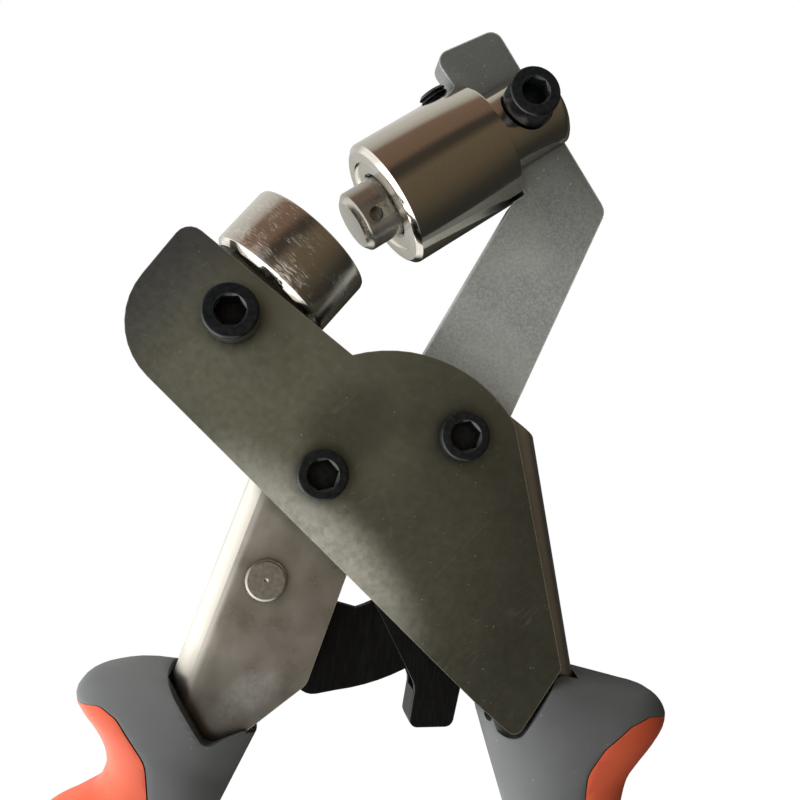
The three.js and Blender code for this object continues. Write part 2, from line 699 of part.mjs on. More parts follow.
// lean is degrees left of straight down, side is the sign of the way out.
const GRIPS = {
  moving: {
    origin: [-54.2, -50.9],
    lean: 27.6,
    side: -1,
    inlay: MOVING_INLAY,
    outerSide: MOVING_OUTER,
    innerSide: MOVING_INNER,
  },
  fixed: {
    origin: [26, -55.9],
    lean: -15.5,
    side: 1,
    inlay: FIXED_INLAY,
    outerSide: FIXED_OUTER,
    innerSide: FIXED_INNER,
  },
};
const INLAY_DEPTH = 2.4;
const SEAM = 0.25;

/** A grip's two pieces in its handle's frame: the grey shell and the coloured inlay. */
function addGrip(name, frame, corners, extraCuts) {
  const grip = GRIPS[name];
  const place = (geometry) => {
    const local = new THREE.Matrix4().makeRotationY(radians(grip.lean));
    local.setPosition(grip.origin[0], 0, grip.origin[1]);
    return solid(geometry.applyMatrix4(frame.matrix.clone().invert().multiply(local)));
  };
  const skin = place(gripLoft(grip, 0));
  const region = place(plateGeometry(inlayOutline(grip, 0), -GRIP_REACH, GRIP_REACH));
  const core = place(gripLoft(grip, INLAY_DEPTH));
  const inlay = cut(skin.intersect(region), core);
  const pocketRegion = place(plateGeometry(inlayOutline(grip, SEAM), -GRIP_REACH, GRIP_REACH));
  const pocketFloor = place(gripLoft(grip, INLAY_DEPTH + SEAM));
  const pocket = cut(pocketRegion, pocketFloor);

  const room = CHANNEL_HALF + GAP;
  const tangRoom = plate(outline(corners), -room, room);
  const shell = cut(skin, pocket, tangRoom, ...extraCuts);
  addPiece(frame, `${name}_grip_shell`, shell, greyGrip);
  addPiece(frame, `${name}_grip_inlay`, cut(inlay, tangRoom, ...extraCuts), orangeGrip);
}

/** Room for a channel's tang inside its grip, a little larger than the channel. */
function tangCorners(web, slot) {
  const out = Math.sign(web);
  return [
    [web + out * GAP, 20],
    [web + out * GAP, -82 - GAP],
    [slot.end, -82 - GAP, 1],
    [slot.neck, slot.neckZ, 2],
    [slot.wide, slot.wideZ],
    [slot.wide, 20],
  ];
}

/** The slanted mouth of the moving grip, which leaves more of the channel bare on the inner side. */
function movingMouth() {
  const mouth = outline([
    [-53, -30],
    [-52.3, -39.4, 3],
    [-49.8, -44, 5],
    [-44.6, -52.7, 2.2],
    [-38.2, -50.8, 0.8],
    [-25, -62],
    [-25, -30],
  ]);
  return plateGeometry(mouth, -GRIP_REACH, GRIP_REACH);
}

/** Room for the lower tip of a side plate, reaching from its inner face outwards. */
function plateTipRoom(front, back) {
  const tip = outline([
    [18.9, -30],
    [18.6, -42.4, 1],
    [9.5, -55.3, 2.5],
    [0.8, -48.6, 4],
    [-20, -28],
  ]);
  return plateGeometry(tip, front, back);
}

function addGrips() {
  const cutter = (frame, geometry) => solid(geometry.applyMatrix4(frame.matrix.clone().invert()));
  const movingSlot = { end: -4.1, neck: 3.4, neckZ: -46.5, wide: 12, wideZ: -33 };
  addGrip('moving', movingFrame, tangCorners(MOVING_WEB, movingSlot), [cutter(movingFrame, movingMouth())]);

  const notchFrom = PLATE_INNER - 0.7;
  const notches = [
    cutter(fixedFrame, plateTipRoom(notchFrom, GRIP_REACH)),
    cutter(fixedFrame, plateTipRoom(-GRIP_REACH, -notchFrom)),
  ];
  const fixedSlot = { end: 7.6, neck: 2.8, neckZ: -50, wide: -4.2, wideZ: -38 };
  addGrip('fixed', fixedFrame, tangCorners(FIXED_WEB, fixedSlot), notches);
}

// ---------- ratchet ----------
const RIVET_SHANK = 2.4;
const RIVET_HEAD = 3.7;
const RIVET_SHOULDER = 3.4;
const SECTOR_START = -91;         // degrees about the handle pivot, tool open
const SECTOR_END = -48;
const TEETH_START = -64;
const TEETH_END = -50;
const NOSE_ANGLE = -42;           // where the pawl meets the teeth

/** The sector's outer edge: plain, then saw teeth, then plain to its end. */
function sectorEdge() {
  const about = (radius, angle) => polar(HANDLE_PIVOT, radius, angle);
  const count = Math.round((TEETH_END - TEETH_START) / TOOTH_STEP);
  const teeth = Array.from({ length: count }, (_, i) => {
    const angle = TEETH_START + i * TOOTH_STEP;
    return [about(SECTOR_OUTER, angle), about(SECTOR_OUTER - TOOTH_DEPTH, angle + 0.35)];
  }).flat();
  return [
    ...arcPoints(HANDLE_PIVOT, SECTOR_OUTER, SECTOR_START + 6, TEETH_START - TOOTH_STEP, 4),
    ...teeth,
    ...arcPoints(HANDLE_PIVOT, SECTOR_OUTER, TEETH_START + count * TOOTH_STEP, SECTOR_END, 4),
  ];
}

function addSector() {
  const shape = outline([
    ...sectorEdge(),
    ...arcPoints(HANDLE_PIVOT, SECTOR_INNER, SECTOR_END, -74, 4),
    [-23.5, -30, 4],
    [-27.5, -20.5, 2],
    [-38, -19, 3],
    [-40.5, -30, 3],
    [-27.8, -47, 3.5],
  ]);
  const blank = plate(shape, -SECTOR_HALF, SECTOR_HALF);
  const hole = pin(SECTOR_RIVET, RIVET_SHANK + FIT, -SECTOR_HALF - 1, SECTOR_HALF + 1);
  addPiece(tool, 'ratchet_sector', cut(blank, hole), blackSheet);

  const headHeight = 0.9;
  const half = CHANNEL_HALF + 0.02;
  const rivet = turnedOnX([
    [-half - headHeight + 0.4, 0],
    [-half - headHeight + 0.4, 0.7],
    [-half - headHeight, 0.9],
    [-half - headHeight, RIVET_HEAD - 0.4],
    [-half - headHeight + 0.3, RIVET_HEAD],
    [-half, RIVET_HEAD],
    [-half, RIVET_SHANK],
    [half, RIVET_SHANK],
    [half, RIVET_HEAD],
    [half + headHeight - 0.3, RIVET_HEAD],
    [half + headHeight, RIVET_HEAD - 0.4],
    [half + headHeight, 0],
  ], 20);
  const [rivetX, rivetZ] = SECTOR_RIVET;
  addPiece(tool, 'sector_rivet', geometryOf(rivet).rotateZ(Math.PI / 2), nickel, [rivetX, 0, rivetZ]);
  const spacerStart = SECTOR_HALF + SEAT_GAP;
  const spacerEnd = CHANNEL_INNER - SEAT_GAP;
  const washer = RIVET_SHANK + FIT;
  addPiece(tool, 'sector_spacer_front',
    ring(SECTOR_RIVET, RIVET_SHOULDER, washer, -spacerEnd, -spacerStart), zinc);
  addPiece(tool, 'sector_spacer_rear',
    ring(SECTOR_RIVET, RIVET_SHOULDER, washer, spacerStart, spacerEnd), zinc);
}

function addDriveAndHookPins() {
  const half = CHANNEL_HALF;
  addPiece(tool, 'drive_pin', pin(DRIVE_PIN, DRIVE_PIN_RADIUS, -half, half), zinc);
  addPiece(tool, 'spring_hook_pin', pin(SPRING_HOOK, HOOK_PIN_RADIUS, -half, half, 16), zinc);
  const anchorHalf = PLATE_INNER - 0.02;
  addPiece(tool, 'spring_anchor_pin', pin(SPRING_ANCHOR, HOOK_PIN_RADIUS, -anchorHalf, anchorHalf, 16), zinc);
}

// ---------- release trigger ----------
const EAR_INNER = 3;
const EAR_OUTER = EAR_INNER + SHEET;

function addTrigger() {
  const ear = outline([
    [11.5, -24.6, 4],
    [15.9, -29, 4],
    [12, -34, 4],
    [1.6, -41, 6],
    [-1.2, -52.6, 1.6],
    [-9.2, -52.4, 1.3],
    [-7.9, -45.2, 3],
    [-16.4, -28.2, 1.5],
    [-8, -25.6, 4],
  ]);
  const padOutline = outline([
    [-8.2, -46.2],
    [-6.8, -46.2],
    [-7.5, -52.5],
    [-9.2, -52.4, 1.3],
  ]);
  const padBridge = plate(padOutline, -EAR_INNER - 0.5, EAR_INNER + 0.5);
  const drill = pin(TRIGGER_PIVOT, TRIGGER_PIN_RADIUS + FIT, -EAR_OUTER - 1, EAR_OUTER + 1);
  const front = plate(ear, -EAR_OUTER, -EAR_INNER);
  const rear = plate(ear, EAR_INNER, EAR_OUTER);
  addPiece(tool, 'release_trigger', cut(join(front, rear, padBridge), drill), blackSheet);

  const about = (radius, angle) => polar(HANDLE_PIVOT, radius, angle);
  const nose = SECTOR_OUTER + 0.35;
  const pawlShape = outline([
    about(nose, NOSE_ANGLE),
    about(nose + 1.6, NOSE_ANGLE - 2.6),
    [...about(46.5, NOSE_ANGLE - 1), 1],
    [...about(46, -31), 1],
    about(42.5, -28.5),
    about(41.2, -33),
    about(41.2, NOSE_ANGLE + 1.8),
  ]);
  const pawlHalf = 1.6;
  const hubRadius = 2.6;
  const pawl = cut(
    join(plate(pawlShape, -pawlHalf, pawlHalf), pin(TRIGGER_PIVOT, hubRadius, -pawlHalf, pawlHalf)),
    pin(TRIGGER_PIVOT, TRIGGER_PIN_RADIUS + FIT, -pawlHalf - 1, pawlHalf + 1),
  );
  addPiece(tool, 'ratchet_pawl', pawl, blackSheet);
  const pinHalf = CHANNEL_HALF;
  addPiece(tool, 'trigger_pin', pin(TRIGGER_PIVOT, TRIGGER_PIN_RADIUS, -pinHalf, pinHalf, 24), zinc);
}

// ---------- springs ----------
/** A wire solid along a curve. */
function wire(curve, radius, steps) {
  const section = new THREE.Shape();
  section.absarc(0, 0, radius, 0, 2 * Math.PI);
  const sweep = { extrudePath: curve, steps, curveSegments: 2, bevelEnabled: false };
  return new THREE.ExtrudeGeometry(section, sweep);
}

/** A helix along +Z, with both ends brought in to the axis. */
class CoilCurve extends THREE.Curve {
  constructor(radius, length, turns) {
    super();
    Object.assign(this, { radius, length, turns });
  }

  getPoint(t, target = new THREE.Vector3()) {
    const angle = 2 * Math.PI * this.turns * t;
    return target.set(
      this.radius * Math.cos(angle),
      this.radius * Math.sin(angle),
      this.length * t,
    );
  }
}

/** The tension spring between the moving channel's hook pin and the plates' anchor pin. */
function addReturnSpring() {
  const from = new THREE.Vector3(SPRING_HOOK[0], 0, SPRING_HOOK[1]);
  const to = new THREE.Vector3(SPRING_ANCHOR[0], 0, SPRING_ANCHOR[1]);
  const direction = to.clone().sub(from).normalize();
  const clearOfPin = HOOK_PIN_RADIUS + 0.7;
  const length = from.distanceTo(to) - 2 * clearOfPin;
  const coil = new CoilCurve(1.9, length, 7);
  const spring = wire(coil, 0.4, 56)
    .applyQuaternion(new THREE.Quaternion().setFromUnitVectors(new THREE.Vector3(0, 0, 1), direction))
    .translate(...from.clone().addScaledVector(direction, clearOfPin).toArray());
  addPiece(tool, 'return_spring', solid(spring), springSteel);
}

/** The small spring that holds the pawl against the sector, wound round the trigger's pin. */
function addPawlSpring() {
  const coil = new CoilCurve(2.1, 0.75, 1.4);
  const spring = wire(coil, 0.28, 24)
    .rotateX(-Math.PI / 2)
    .translate(TRIGGER_PIVOT[0], 1.95, TRIGGER_PIVOT[1]);
  addPiece(tool, 'pawl_spring', solid(spring), springSteel);
}

addSidePlates();
addPivots();
addPunchArm();
addPunchHolder();
addPunchPin();
addPunchFasteners();
addAnvil();
addFixedChannel();
addMovingChannel();
addGrips();
addSector();
addDriveAndHookPins();
addTrigger();
addReturnSpring();
addPawlSpring();

export default tool;
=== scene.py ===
import math

import bmesh
import bpy
from mathutils import Matrix, Vector


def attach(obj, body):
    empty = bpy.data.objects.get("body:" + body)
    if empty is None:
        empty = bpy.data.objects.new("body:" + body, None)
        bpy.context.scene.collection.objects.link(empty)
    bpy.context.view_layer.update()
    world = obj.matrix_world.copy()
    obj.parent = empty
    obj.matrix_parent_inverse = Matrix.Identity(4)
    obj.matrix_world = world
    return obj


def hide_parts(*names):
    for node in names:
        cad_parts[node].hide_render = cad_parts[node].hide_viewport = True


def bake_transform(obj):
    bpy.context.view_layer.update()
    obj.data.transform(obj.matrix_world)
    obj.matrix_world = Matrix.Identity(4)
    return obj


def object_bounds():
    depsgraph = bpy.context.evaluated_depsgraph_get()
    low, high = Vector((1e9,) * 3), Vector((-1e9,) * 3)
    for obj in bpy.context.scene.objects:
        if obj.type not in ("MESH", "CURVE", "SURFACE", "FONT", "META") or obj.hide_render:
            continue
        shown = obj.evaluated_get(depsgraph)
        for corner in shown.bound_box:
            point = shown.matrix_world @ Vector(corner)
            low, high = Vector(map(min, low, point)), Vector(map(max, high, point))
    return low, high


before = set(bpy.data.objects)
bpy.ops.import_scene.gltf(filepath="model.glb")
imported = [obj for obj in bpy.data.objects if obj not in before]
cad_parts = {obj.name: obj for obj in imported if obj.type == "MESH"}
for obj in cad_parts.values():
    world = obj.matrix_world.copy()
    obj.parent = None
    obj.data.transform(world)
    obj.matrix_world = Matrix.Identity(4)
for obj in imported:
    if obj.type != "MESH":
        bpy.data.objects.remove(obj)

CAD_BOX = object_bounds()
MM = 0.001

# ---------- places shared with the CAD ----------
REAR_PLANE = 15.5
DIE_OFFSET = 45.8
PUNCH_ANGLE = 33.8
ANVIL_ANGLE = 49.8
DIE_RADIUS = 13.0
SLEEVE_FRONT = 14.2
SLEEVE_BACK = 39.6
SHANK_RADIUS = 8.9
SHANK_END = 55.8
PUNCH_TIP = 7.2
PIN_END = 38.0
PUNCH_RADIUS = 6.2
CLAMP_ALONG = 48.2
CLAMP_ACROSS = 1.0
CLAMP_SEAT = 7.4
SET_SCREW_ALONG = 35.4
SET_SCREW_LEAN = 8.0
SET_SCREW_OUT = 1.6
ANVIL_BOTTOM = -1.4
ANVIL_TOP = 12.0
ANVIL_SCREW_ALONG = -10.9
ANVIL_SCREW_ACROSS = -0.4
PLATE_OUTER = 9.5
PLATE_INNER = 6.5
ARM_HALF = 2.5
HANDLE_PIVOT = (-25.5, -7.0)
ARM_PIVOT = (0.0, 0.0)
SECTOR_RIVET = (-35.0, -25.5)
SPRING_HOOK = (-31.3, 0, -0.8)
SPRING_ANCHOR = (-26.5, 0, 13.5)
TRIGGER_PIVOT = (11.5, -29.0)
GAP = 0.3
SOCKET_ACROSS = 5.0
SCREW_HOLE = 3.08
THREAD_END = 6.0
PIVOT_HEAD = (4.55, 3.0)      # radius and height
CLAMP_HEAD = (5.0, 6.0)
CLAMP_SHANK = 2.95
CHANNEL_HALF = 6.4


# ---------- frames ----------
def frame_at(x, z, lean):
    """A local frame on the XZ plane, turned by an angle from +X towards +Z, in metres."""
    place = Matrix.Translation((x, -REAR_PLANE, z))
    return Matrix.Scale(MM, 4) @ place @ Matrix.Rotation(-math.radians(lean), 4, "Y")


def die_frame(angle):
    """The frame of a die axis: local +X runs away from the closed gap, local +Z away from the pivot."""
    across = math.radians(angle + 90)
    return frame_at(DIE_OFFSET * math.cos(across), DIE_OFFSET * math.sin(across), angle)


PUNCH = die_frame(PUNCH_ANGLE)
ANVIL = die_frame(ANVIL_ANGLE)
ROW = frame_at(0, 0, 0)


# ---------- mesh helpers ----------
def mesh_object(name, verts, faces, matrix=ROW):
    mesh = bpy.data.meshes.new(name)
    mesh.from_pydata([matrix @ Vector(v) for v in verts], [], faces)
    obj = bpy.data.objects.new(name, mesh)
    bpy.context.scene.collection.objects.link(obj)
    fix_normals(obj)
    return obj


def fix_normals(obj):
    bm = bmesh.new()
    bm.from_mesh(obj.data)
    bmesh.ops.recalc_face_normals(bm, faces=bm.faces)
    bm.to_mesh(obj.data)
    bm.free()


def bake(obj):
    """Applies an object's modifiers to its mesh."""
    bpy.context.view_layer.update()
    graph = bpy.context.evaluated_depsgraph_get()
    mesh = bpy.data.meshes.new_from_object(obj.evaluated_get(graph))
    obj.modifiers.clear()
    obj.data = mesh


def combine(obj, tool, operation="DIFFERENCE"):
    """Cuts, joins or intersects obj with tool, which is used up."""
    modifier = obj.modifiers.new("combine", "BOOLEAN")
    modifier.object = tool
    modifier.operation = operation
    modifier.solver = "EXACT"
    bake(obj)
    bpy.data.objects.remove(tool)
    return obj


def smooth(obj, angle=32):
    """Smooth shading that keeps edges sharper than the angle."""
    for face in obj.data.polygons:
        face.use_smooth = True
    obj.data.set_sharp_from_angle(angle=math.radians(angle))
    return obj


def bevel(obj, width, angle=40, segments=2):
    """Rounds every edge sharper than the angle by a width in millimetres."""
    modifier = obj.modifiers.new("bevel", "BEVEL")
    modifier.width = width * MM
    modifier.segments = segments
    modifier.limit_method = "ANGLE"
    modifier.angle_limit = math.radians(angle)
    modifier.use_clamp_overlap = True
    bake(obj)
    return obj


def lathe(name, profile, matrix, segments=96, ripple=0.0, ripples=0):
    """A body of revolution about local +X from (x, radius) pairs that start and end on the axis."""
    verts, rings = [], []
    for x, radius in profile:
        if radius < 1e-6:
            rings.append([len(verts)])
            verts.append((x, 0, 0))
            continue
        ring = []
        for i in range(segments):
            a = 2 * math.pi * i / segments
            r = radius - ripple * (0.5 - 0.5 * math.cos(ripples * a))
            ring.append(len(verts))
            verts.append((x, r * math.cos(a), r * math.sin(a)))
        rings.append(ring)
    faces = []
    for first, second in zip(rings, rings[1:]):
        for i in range(segments):
            j = (i + 1) % segments
            if len(first) == 1:
                faces.append((first[0], second[j], second[i]))
            elif len(second) == 1:
                faces.append((first[i], first[j], second[0]))
            else:
                faces.append((first[i], first[j], second[j], second[i]))
    return mesh_object(name, verts, faces, matrix)


def prism(name, outline, front, back, matrix=ROW):
    """A plate with an outline of (x, z) points, filling y from front to back."""
    count = len(outline)
    verts = [(x, front, z) for x, z in outline] + [(x, back, z) for x, z in outline]
    faces = [tuple(range(count)), tuple(range(2 * count - 1, count - 1, -1))]
    faces += [(i, i + count, (i + 1) % count + count, (i + 1) % count) for i in range(count)]
    return mesh_object(name, verts, faces, matrix)


def circle(radius, centre=(0, 0), count=64, phase=0.0):
    return [
        (
            centre[0] + radius * math.cos(phase + 2 * math.pi * i / count),
            centre[1] + radius * math.sin(phase + 2 * math.pi * i / count),
        )
        for i in range(count)
    ]


def finish_piece(obj, node, body, material, sharp=32):
    """Shades a piece, gives it its material and lets it stand for its CAD nodes."""
    smooth(obj, sharp)
    obj.data.materials.clear()
    obj.data.materials.append(material)
    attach(obj, body)
    nodes = [node] if isinstance(node, str) else node
    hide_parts(*nodes)
    return obj


def refined(node, width, body, material, flat=1.0, sharp=32):
    """A CAD node's own shape with merged flats and rounded edges."""
    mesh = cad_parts[node].data.copy()
    bm = bmesh.new()
    bm.from_mesh(mesh)
    bmesh.ops.remove_doubles(bm, verts=bm.verts, dist=1e-6)
    bmesh.ops.dissolve_limit(bm, angle_limit=math.radians(flat), verts=bm.verts, edges=bm.edges)
    bm.to_mesh(mesh)
    bm.free()
    if "custom_normal" in mesh.attributes:
        mesh.attributes.remove(mesh.attributes["custom_normal"])
    obj = bpy.data.objects.new(node + "_fine", mesh)
    bpy.context.scene.collection.objects.link(obj)
    bevel(obj, width)
    weigh_normals(obj)
    return finish_piece(obj, node, body, material, sharp)


def weigh_normals(obj):
    """Large flats keep flat shading next to their rounded edges."""
    for face in obj.data.polygons:
        face.use_smooth = True
    modifier = obj.modifiers.new("weighted", "WEIGHTED_NORMAL")
    modifier.keep_sharp = True
    modifier.weight = 90
    bake(obj)


# ---------- material helpers ----------
class Graph:
    """A material's or a world's node tree, with short calls for adding and joining nodes."""

    def __init__(self, name, world=None):
        """Starts a new material, or empties a world's tree to build in it."""
        self.material = world or bpy.data.materials.new(name)
        self.material.use_nodes = True
        self.tree = self.material.node_tree
        if world:
            self.tree.nodes.clear()
            return
        self.shader = self.tree.nodes["Principled BSDF"]
        coords = self.add("ShaderNodeTexCoord").outputs["Object"]
        self.place = self.vector("MULTIPLY", coords, (1000, 1000, 1000))

    def add(self, kind, settings=None, inputs=None):
        node = self.tree.nodes.new(kind)
        for key, value in (settings or {}).items():
            setattr(node, key, value)
        for key, value in (inputs or {}).items():
            self.plug(node.inputs[key], value)
        return node

    def plug(self, socket, value):
        if isinstance(value, bpy.types.NodeSocket):
            self.tree.links.new(value, socket)
        else:
            socket.default_value = value

    def vector(self, operation, a, b):
        node = self.add("ShaderNodeVectorMath", {"operation": operation}, {0: a, 1: b})
        return node.outputs["Value" if operation == "DOT_PRODUCT" else "Vector"]

    def math(self, operation, a, b=0.0, clamp=False):
        node = self.add("ShaderNodeMath", {"operation": operation, "use_clamp": clamp}, {0: a, 1: b})
        return node.outputs[0]

    def noise(self, scale, detail=3.0, roughness=0.5, where=None):
        """Noise with about scale features per millimetre, from 0 to 1."""
        node = self.add(
            "ShaderNodeTexNoise",
            None,
            {"Vector": where or self.place, "Scale": scale, "Detail": detail, "Roughness": roughness},
        )
        return node.outputs["Fac"]

    def along(self, direction, stretch, across=1.0):
        """Coordinates squeezed along a direction and across it, so that noise draws long streaks there."""
        turn = Vector((1, 0, 0)).rotation_difference(Vector(direction).normalized()).to_euler()
        node = self.add(
            "ShaderNodeMapping", {"vector_type": "TEXTURE"},
            {"Vector": self.place, "Rotation": turn, "Scale": (stretch, across, across)},
        )
        return node.outputs[0]

    def recess_shade(self, distance, darkest):
        """Painted shade from ambient occlusion: one in the open, falling to a darkest value in holes and corners.
        """
        inputs = {"Distance": distance * MM}
        open_sky = self.add("ShaderNodeAmbientOcclusion", {"samples": 6}, inputs).outputs["AO"]
        return self.spread(open_sky, 0.25, 0.95, darkest, 1.0)

    def shaded(self, color, factor):
        """A colour times a factor."""
        level = self.add("ShaderNodeCombineColor", {}, {0: factor, 1: factor, 2: factor}).outputs[0]
        return self.mix(1.0, color, level, "MULTIPLY")

    def spread(self, value, low, high, to_low=0.0, to_high=1.0):
        """Maps a range onto another, clamped."""
        node = self.add(
            "ShaderNodeMapRange", {"clamp": True},
            {"Value": value, "From Min": low, "From Max": high, "To Min": to_low, "To Max": to_high},
        )
        return node.outputs[0]

    def mix(self, factor, a, b, blend="MIX"):
        node = self.add("ShaderNodeMix", {"data_type": "RGBA", "blend_type": blend})
        self.plug(node.inputs[0], factor)
        self.plug(node.inputs[6], a)
        self.plug(node.inputs[7], b)
        return node.outputs[2]

    def edges(self, radius, low=0.80, high=0.985):
        """One on edges, zero on flats: the mask for worn edges and for painted edge highlights."""
        rounded = self.add("ShaderNodeBevel", {"samples": 4}, {"Radius": radius * MM}).outputs[0]
        true = self.add("ShaderNodeNewGeometry").outputs["Normal"]
        return self.spread(self.vector("DOT_PRODUCT", rounded, true), low, high, 1.0, 0.0)

    def spot(self, centre, radii, turn):
        """One at a point of the XZ plane, fading to zero at an ellipse turned by an angle from +X to +Z."""
        away = self.vector("SUBTRACT", self.place, (centre[0], 0, centre[1]))
        a = math.radians(turn)
        first = self.vector("DOT_PRODUCT", away, (math.cos(a) / radii[0], 0, math.sin(a) / radii[0]))
        second = self.vector("DOT_PRODUCT", away, (-math.sin(a) / radii[1], 0, math.cos(a) / radii[1]))
        squares = self.math("ADD", self.math("MULTIPLY", first, first), self.math("MULTIPLY", second, second))
        fade = {"Value": squares, "From Min": 0.0, "From Max": 1.0, "To Min": 1.0, "To Max": 0.0}
        return self.add("ShaderNodeMapRange", {"interpolation_type": "SMOOTHSTEP"}, fade).outputs[0]

    def scratches(self, scale, stretch, direction, width=0.012):
        """Thin lines where streaked noise crosses its middle, broken up by a coarser noise."""
        streaks = self.noise(scale, 1.0, 0.4, self.along(direction, stretch))
        line = self.spread(self.math("ABSOLUTE", self.math("SUBTRACT", streaks, 0.5)), 0.0, width, 1.0, 0.0)
        patches = self.spread(self.noise(scale * 0.6, 2.0), 0.52, 0.66)
        return self.math("MULTIPLY", line, patches)

    def bump(self, height, strength, distance=0.1, normal=None):
        inputs = {"Height": height, "Strength": strength, "Distance": distance * MM}
        if normal is not None:
            inputs["Normal"] = normal
        return self.add("ShaderNodeBump", {}, inputs).outputs[0]

    def finish(self, color, metallic, roughness, normal=None, **more):
        self.plug(self.shader.inputs["Base Color"], color)
        self.plug(self.shader.inputs["Metallic"], metallic)
        self.plug(self.shader.inputs["Roughness"], roughness)
        if normal is not None:
            self.plug(self.shader.inputs["Normal"], normal)
        for name, value in more.items():
            self.plug(self.shader.inputs[name.replace("_", " ")], value)
        return self.material


def grey(value, tint=(1.0, 1.0, 1.0)):
    return (value * tint[0], value * tint[1], value * tint[2], 1.0)


# ---------- materials ----------
OLIVE = (0.99, 1.0, 0.76)
WARM = (1.06, 1.0, 0.9)


def blackened_plate():
    """Side plates: blackened sheet steel with a cloudy oil film, specks and worn edges, and painted light: a
    painted sheen on the left and on a rubbed lower-left patch, painted shade over the upper-left lobe, towards the
    right and in recesses.
    """
    g = Graph("blackened_plate")
    clouds = g.noise(0.05, 4.0, 0.6)
    fine = g.noise(0.9, 4.0, 0.65)
    grain = g.noise(4.0, 2.0, 0.6)
    tone = g.mix(g.spread(clouds, 0.35, 0.65), grey(0.16, OLIVE), grey(0.23, OLIVE))
    # Painted sheen: lighter over the left.
    left = g.spot((-40, 12), (30, 22), -40)
    tone = g.mix(g.math("MULTIPLY", left, 0.7), tone, grey(0.31, OLIVE))
    # Painted shade: darker over the upper-left lobe.
    lobe = g.spread(g.vector("DOT_PRODUCT", g.place, (0.8, 0, -0.6)), -62.0, -48.0, 1.0, 0.0)
    tone = g.mix(lobe, tone, grey(0.13, (0.97, 1.0, 0.98)))
    # Painted shade: darker towards the right.
    shade = g.spread(g.vector("DOT_PRODUCT", g.place, (0.85, 0, -0.25)), -14.0, 16.0)
    tone = g.mix(g.math("MULTIPLY", shade, 0.72), tone, grey(0.06, OLIVE))
    # A lower-left patch, rubbed duller (less metallic) and painted lighter as a sheen.
    rubbed_sheen = g.math("POWER", g.spot((-28, -20), (13, 34), 47), 1.8)
    rubbed_sheen = g.math("MULTIPLY", rubbed_sheen, g.spread(fine, 0.1, 0.6, 0.6, 1.0))
    tone = g.mix(g.math("MULTIPLY", rubbed_sheen, 0.8), tone, grey(0.76, (1.0, 1.0, 0.9)))
    smoke = g.math("MULTIPLY", g.spot((-21, 2), (11, 9), 30), g.spread(clouds, 0.3, 0.6, 0.3, 0.8))
    tone = g.mix(smoke, tone, grey(0.1, OLIVE))
    specks = g.spread(g.noise(1.7, 2.0, 0.5), 0.745, 0.77)
    tone = g.mix(g.math("MULTIPLY", specks, 0.55), tone, grey(0.8, OLIVE))
    lines = g.scratches(0.3, 9.0, (1, 0, 0.9))
    tone = g.mix(g.math("MULTIPLY", lines, 0.12), tone, grey(0.6))
    tone = g.mix(g.math("MULTIPLY", g.edges(0.35), 0.6), tone, grey(0.75, WARM))
    # Painted shade in recesses and around other parts.
    tone = g.shaded(tone, g.recess_shade(2.5, 0.3))
    rough = g.spread(fine, 0.3, 0.7, 0.32, 0.46)
    metal = g.spread(rubbed_sheen, 0.0, 1.0, 0.85, 0.65)
    normal = g.bump(grain, 0.1, 0.03, g.bump(fine, 0.1, 0.05))
    return g.finish(tone, metal, rough, normal)


def ground_steel():
    """Punch arm: grey blasted steel with a mottled grain, a painted highlight on its edges, and painted shade over
    its upper end and in recesses.
    """
    g = Graph("ground_steel")
    grain = g.noise(2.2, 4.0, 0.7)
    clouds = g.noise(0.06, 3.0)
    tone = g.mix(g.spread(clouds, 0.35, 0.65), grey(0.34, (0.93, 1.0, 0.98)), grey(0.48, (0.93, 1.0, 0.98)))
    tone = g.mix(g.spread(grain, 0.35, 0.7, 0.0, 0.7), tone, grey(0.72, (0.94, 1.0, 0.98)))
    # Painted shade: darker over the upper end.
    upper = g.spread(g.vector("DOT_PRODUCT", g.place, (0.5, 0, 0.86)), 38.0, 66.0)
    tone = g.mix(g.math("MULTIPLY", upper, 0.8), tone, grey(0.1, (0.96, 1.0, 0.95)))
    specks = g.spread(g.noise(1.6, 2.0), 0.72, 0.75)
    tone = g.mix(g.math("MULTIPLY", specks, 0.7), tone, grey(0.95))
    # Painted highlight along the edges.
    tone = g.mix(g.math("MULTIPLY", g.edges(0.6), 0.9), tone, grey(0.9))
    # Painted shade in recesses.
    tone = g.shaded(tone, g.recess_shade(3.0, 0.25))
    rough = g.spread(grain, 0.3, 0.7, 0.38, 0.52)
    return g.finish(tone, 0.6, rough, g.bump(grain, 0.6, 0.08))


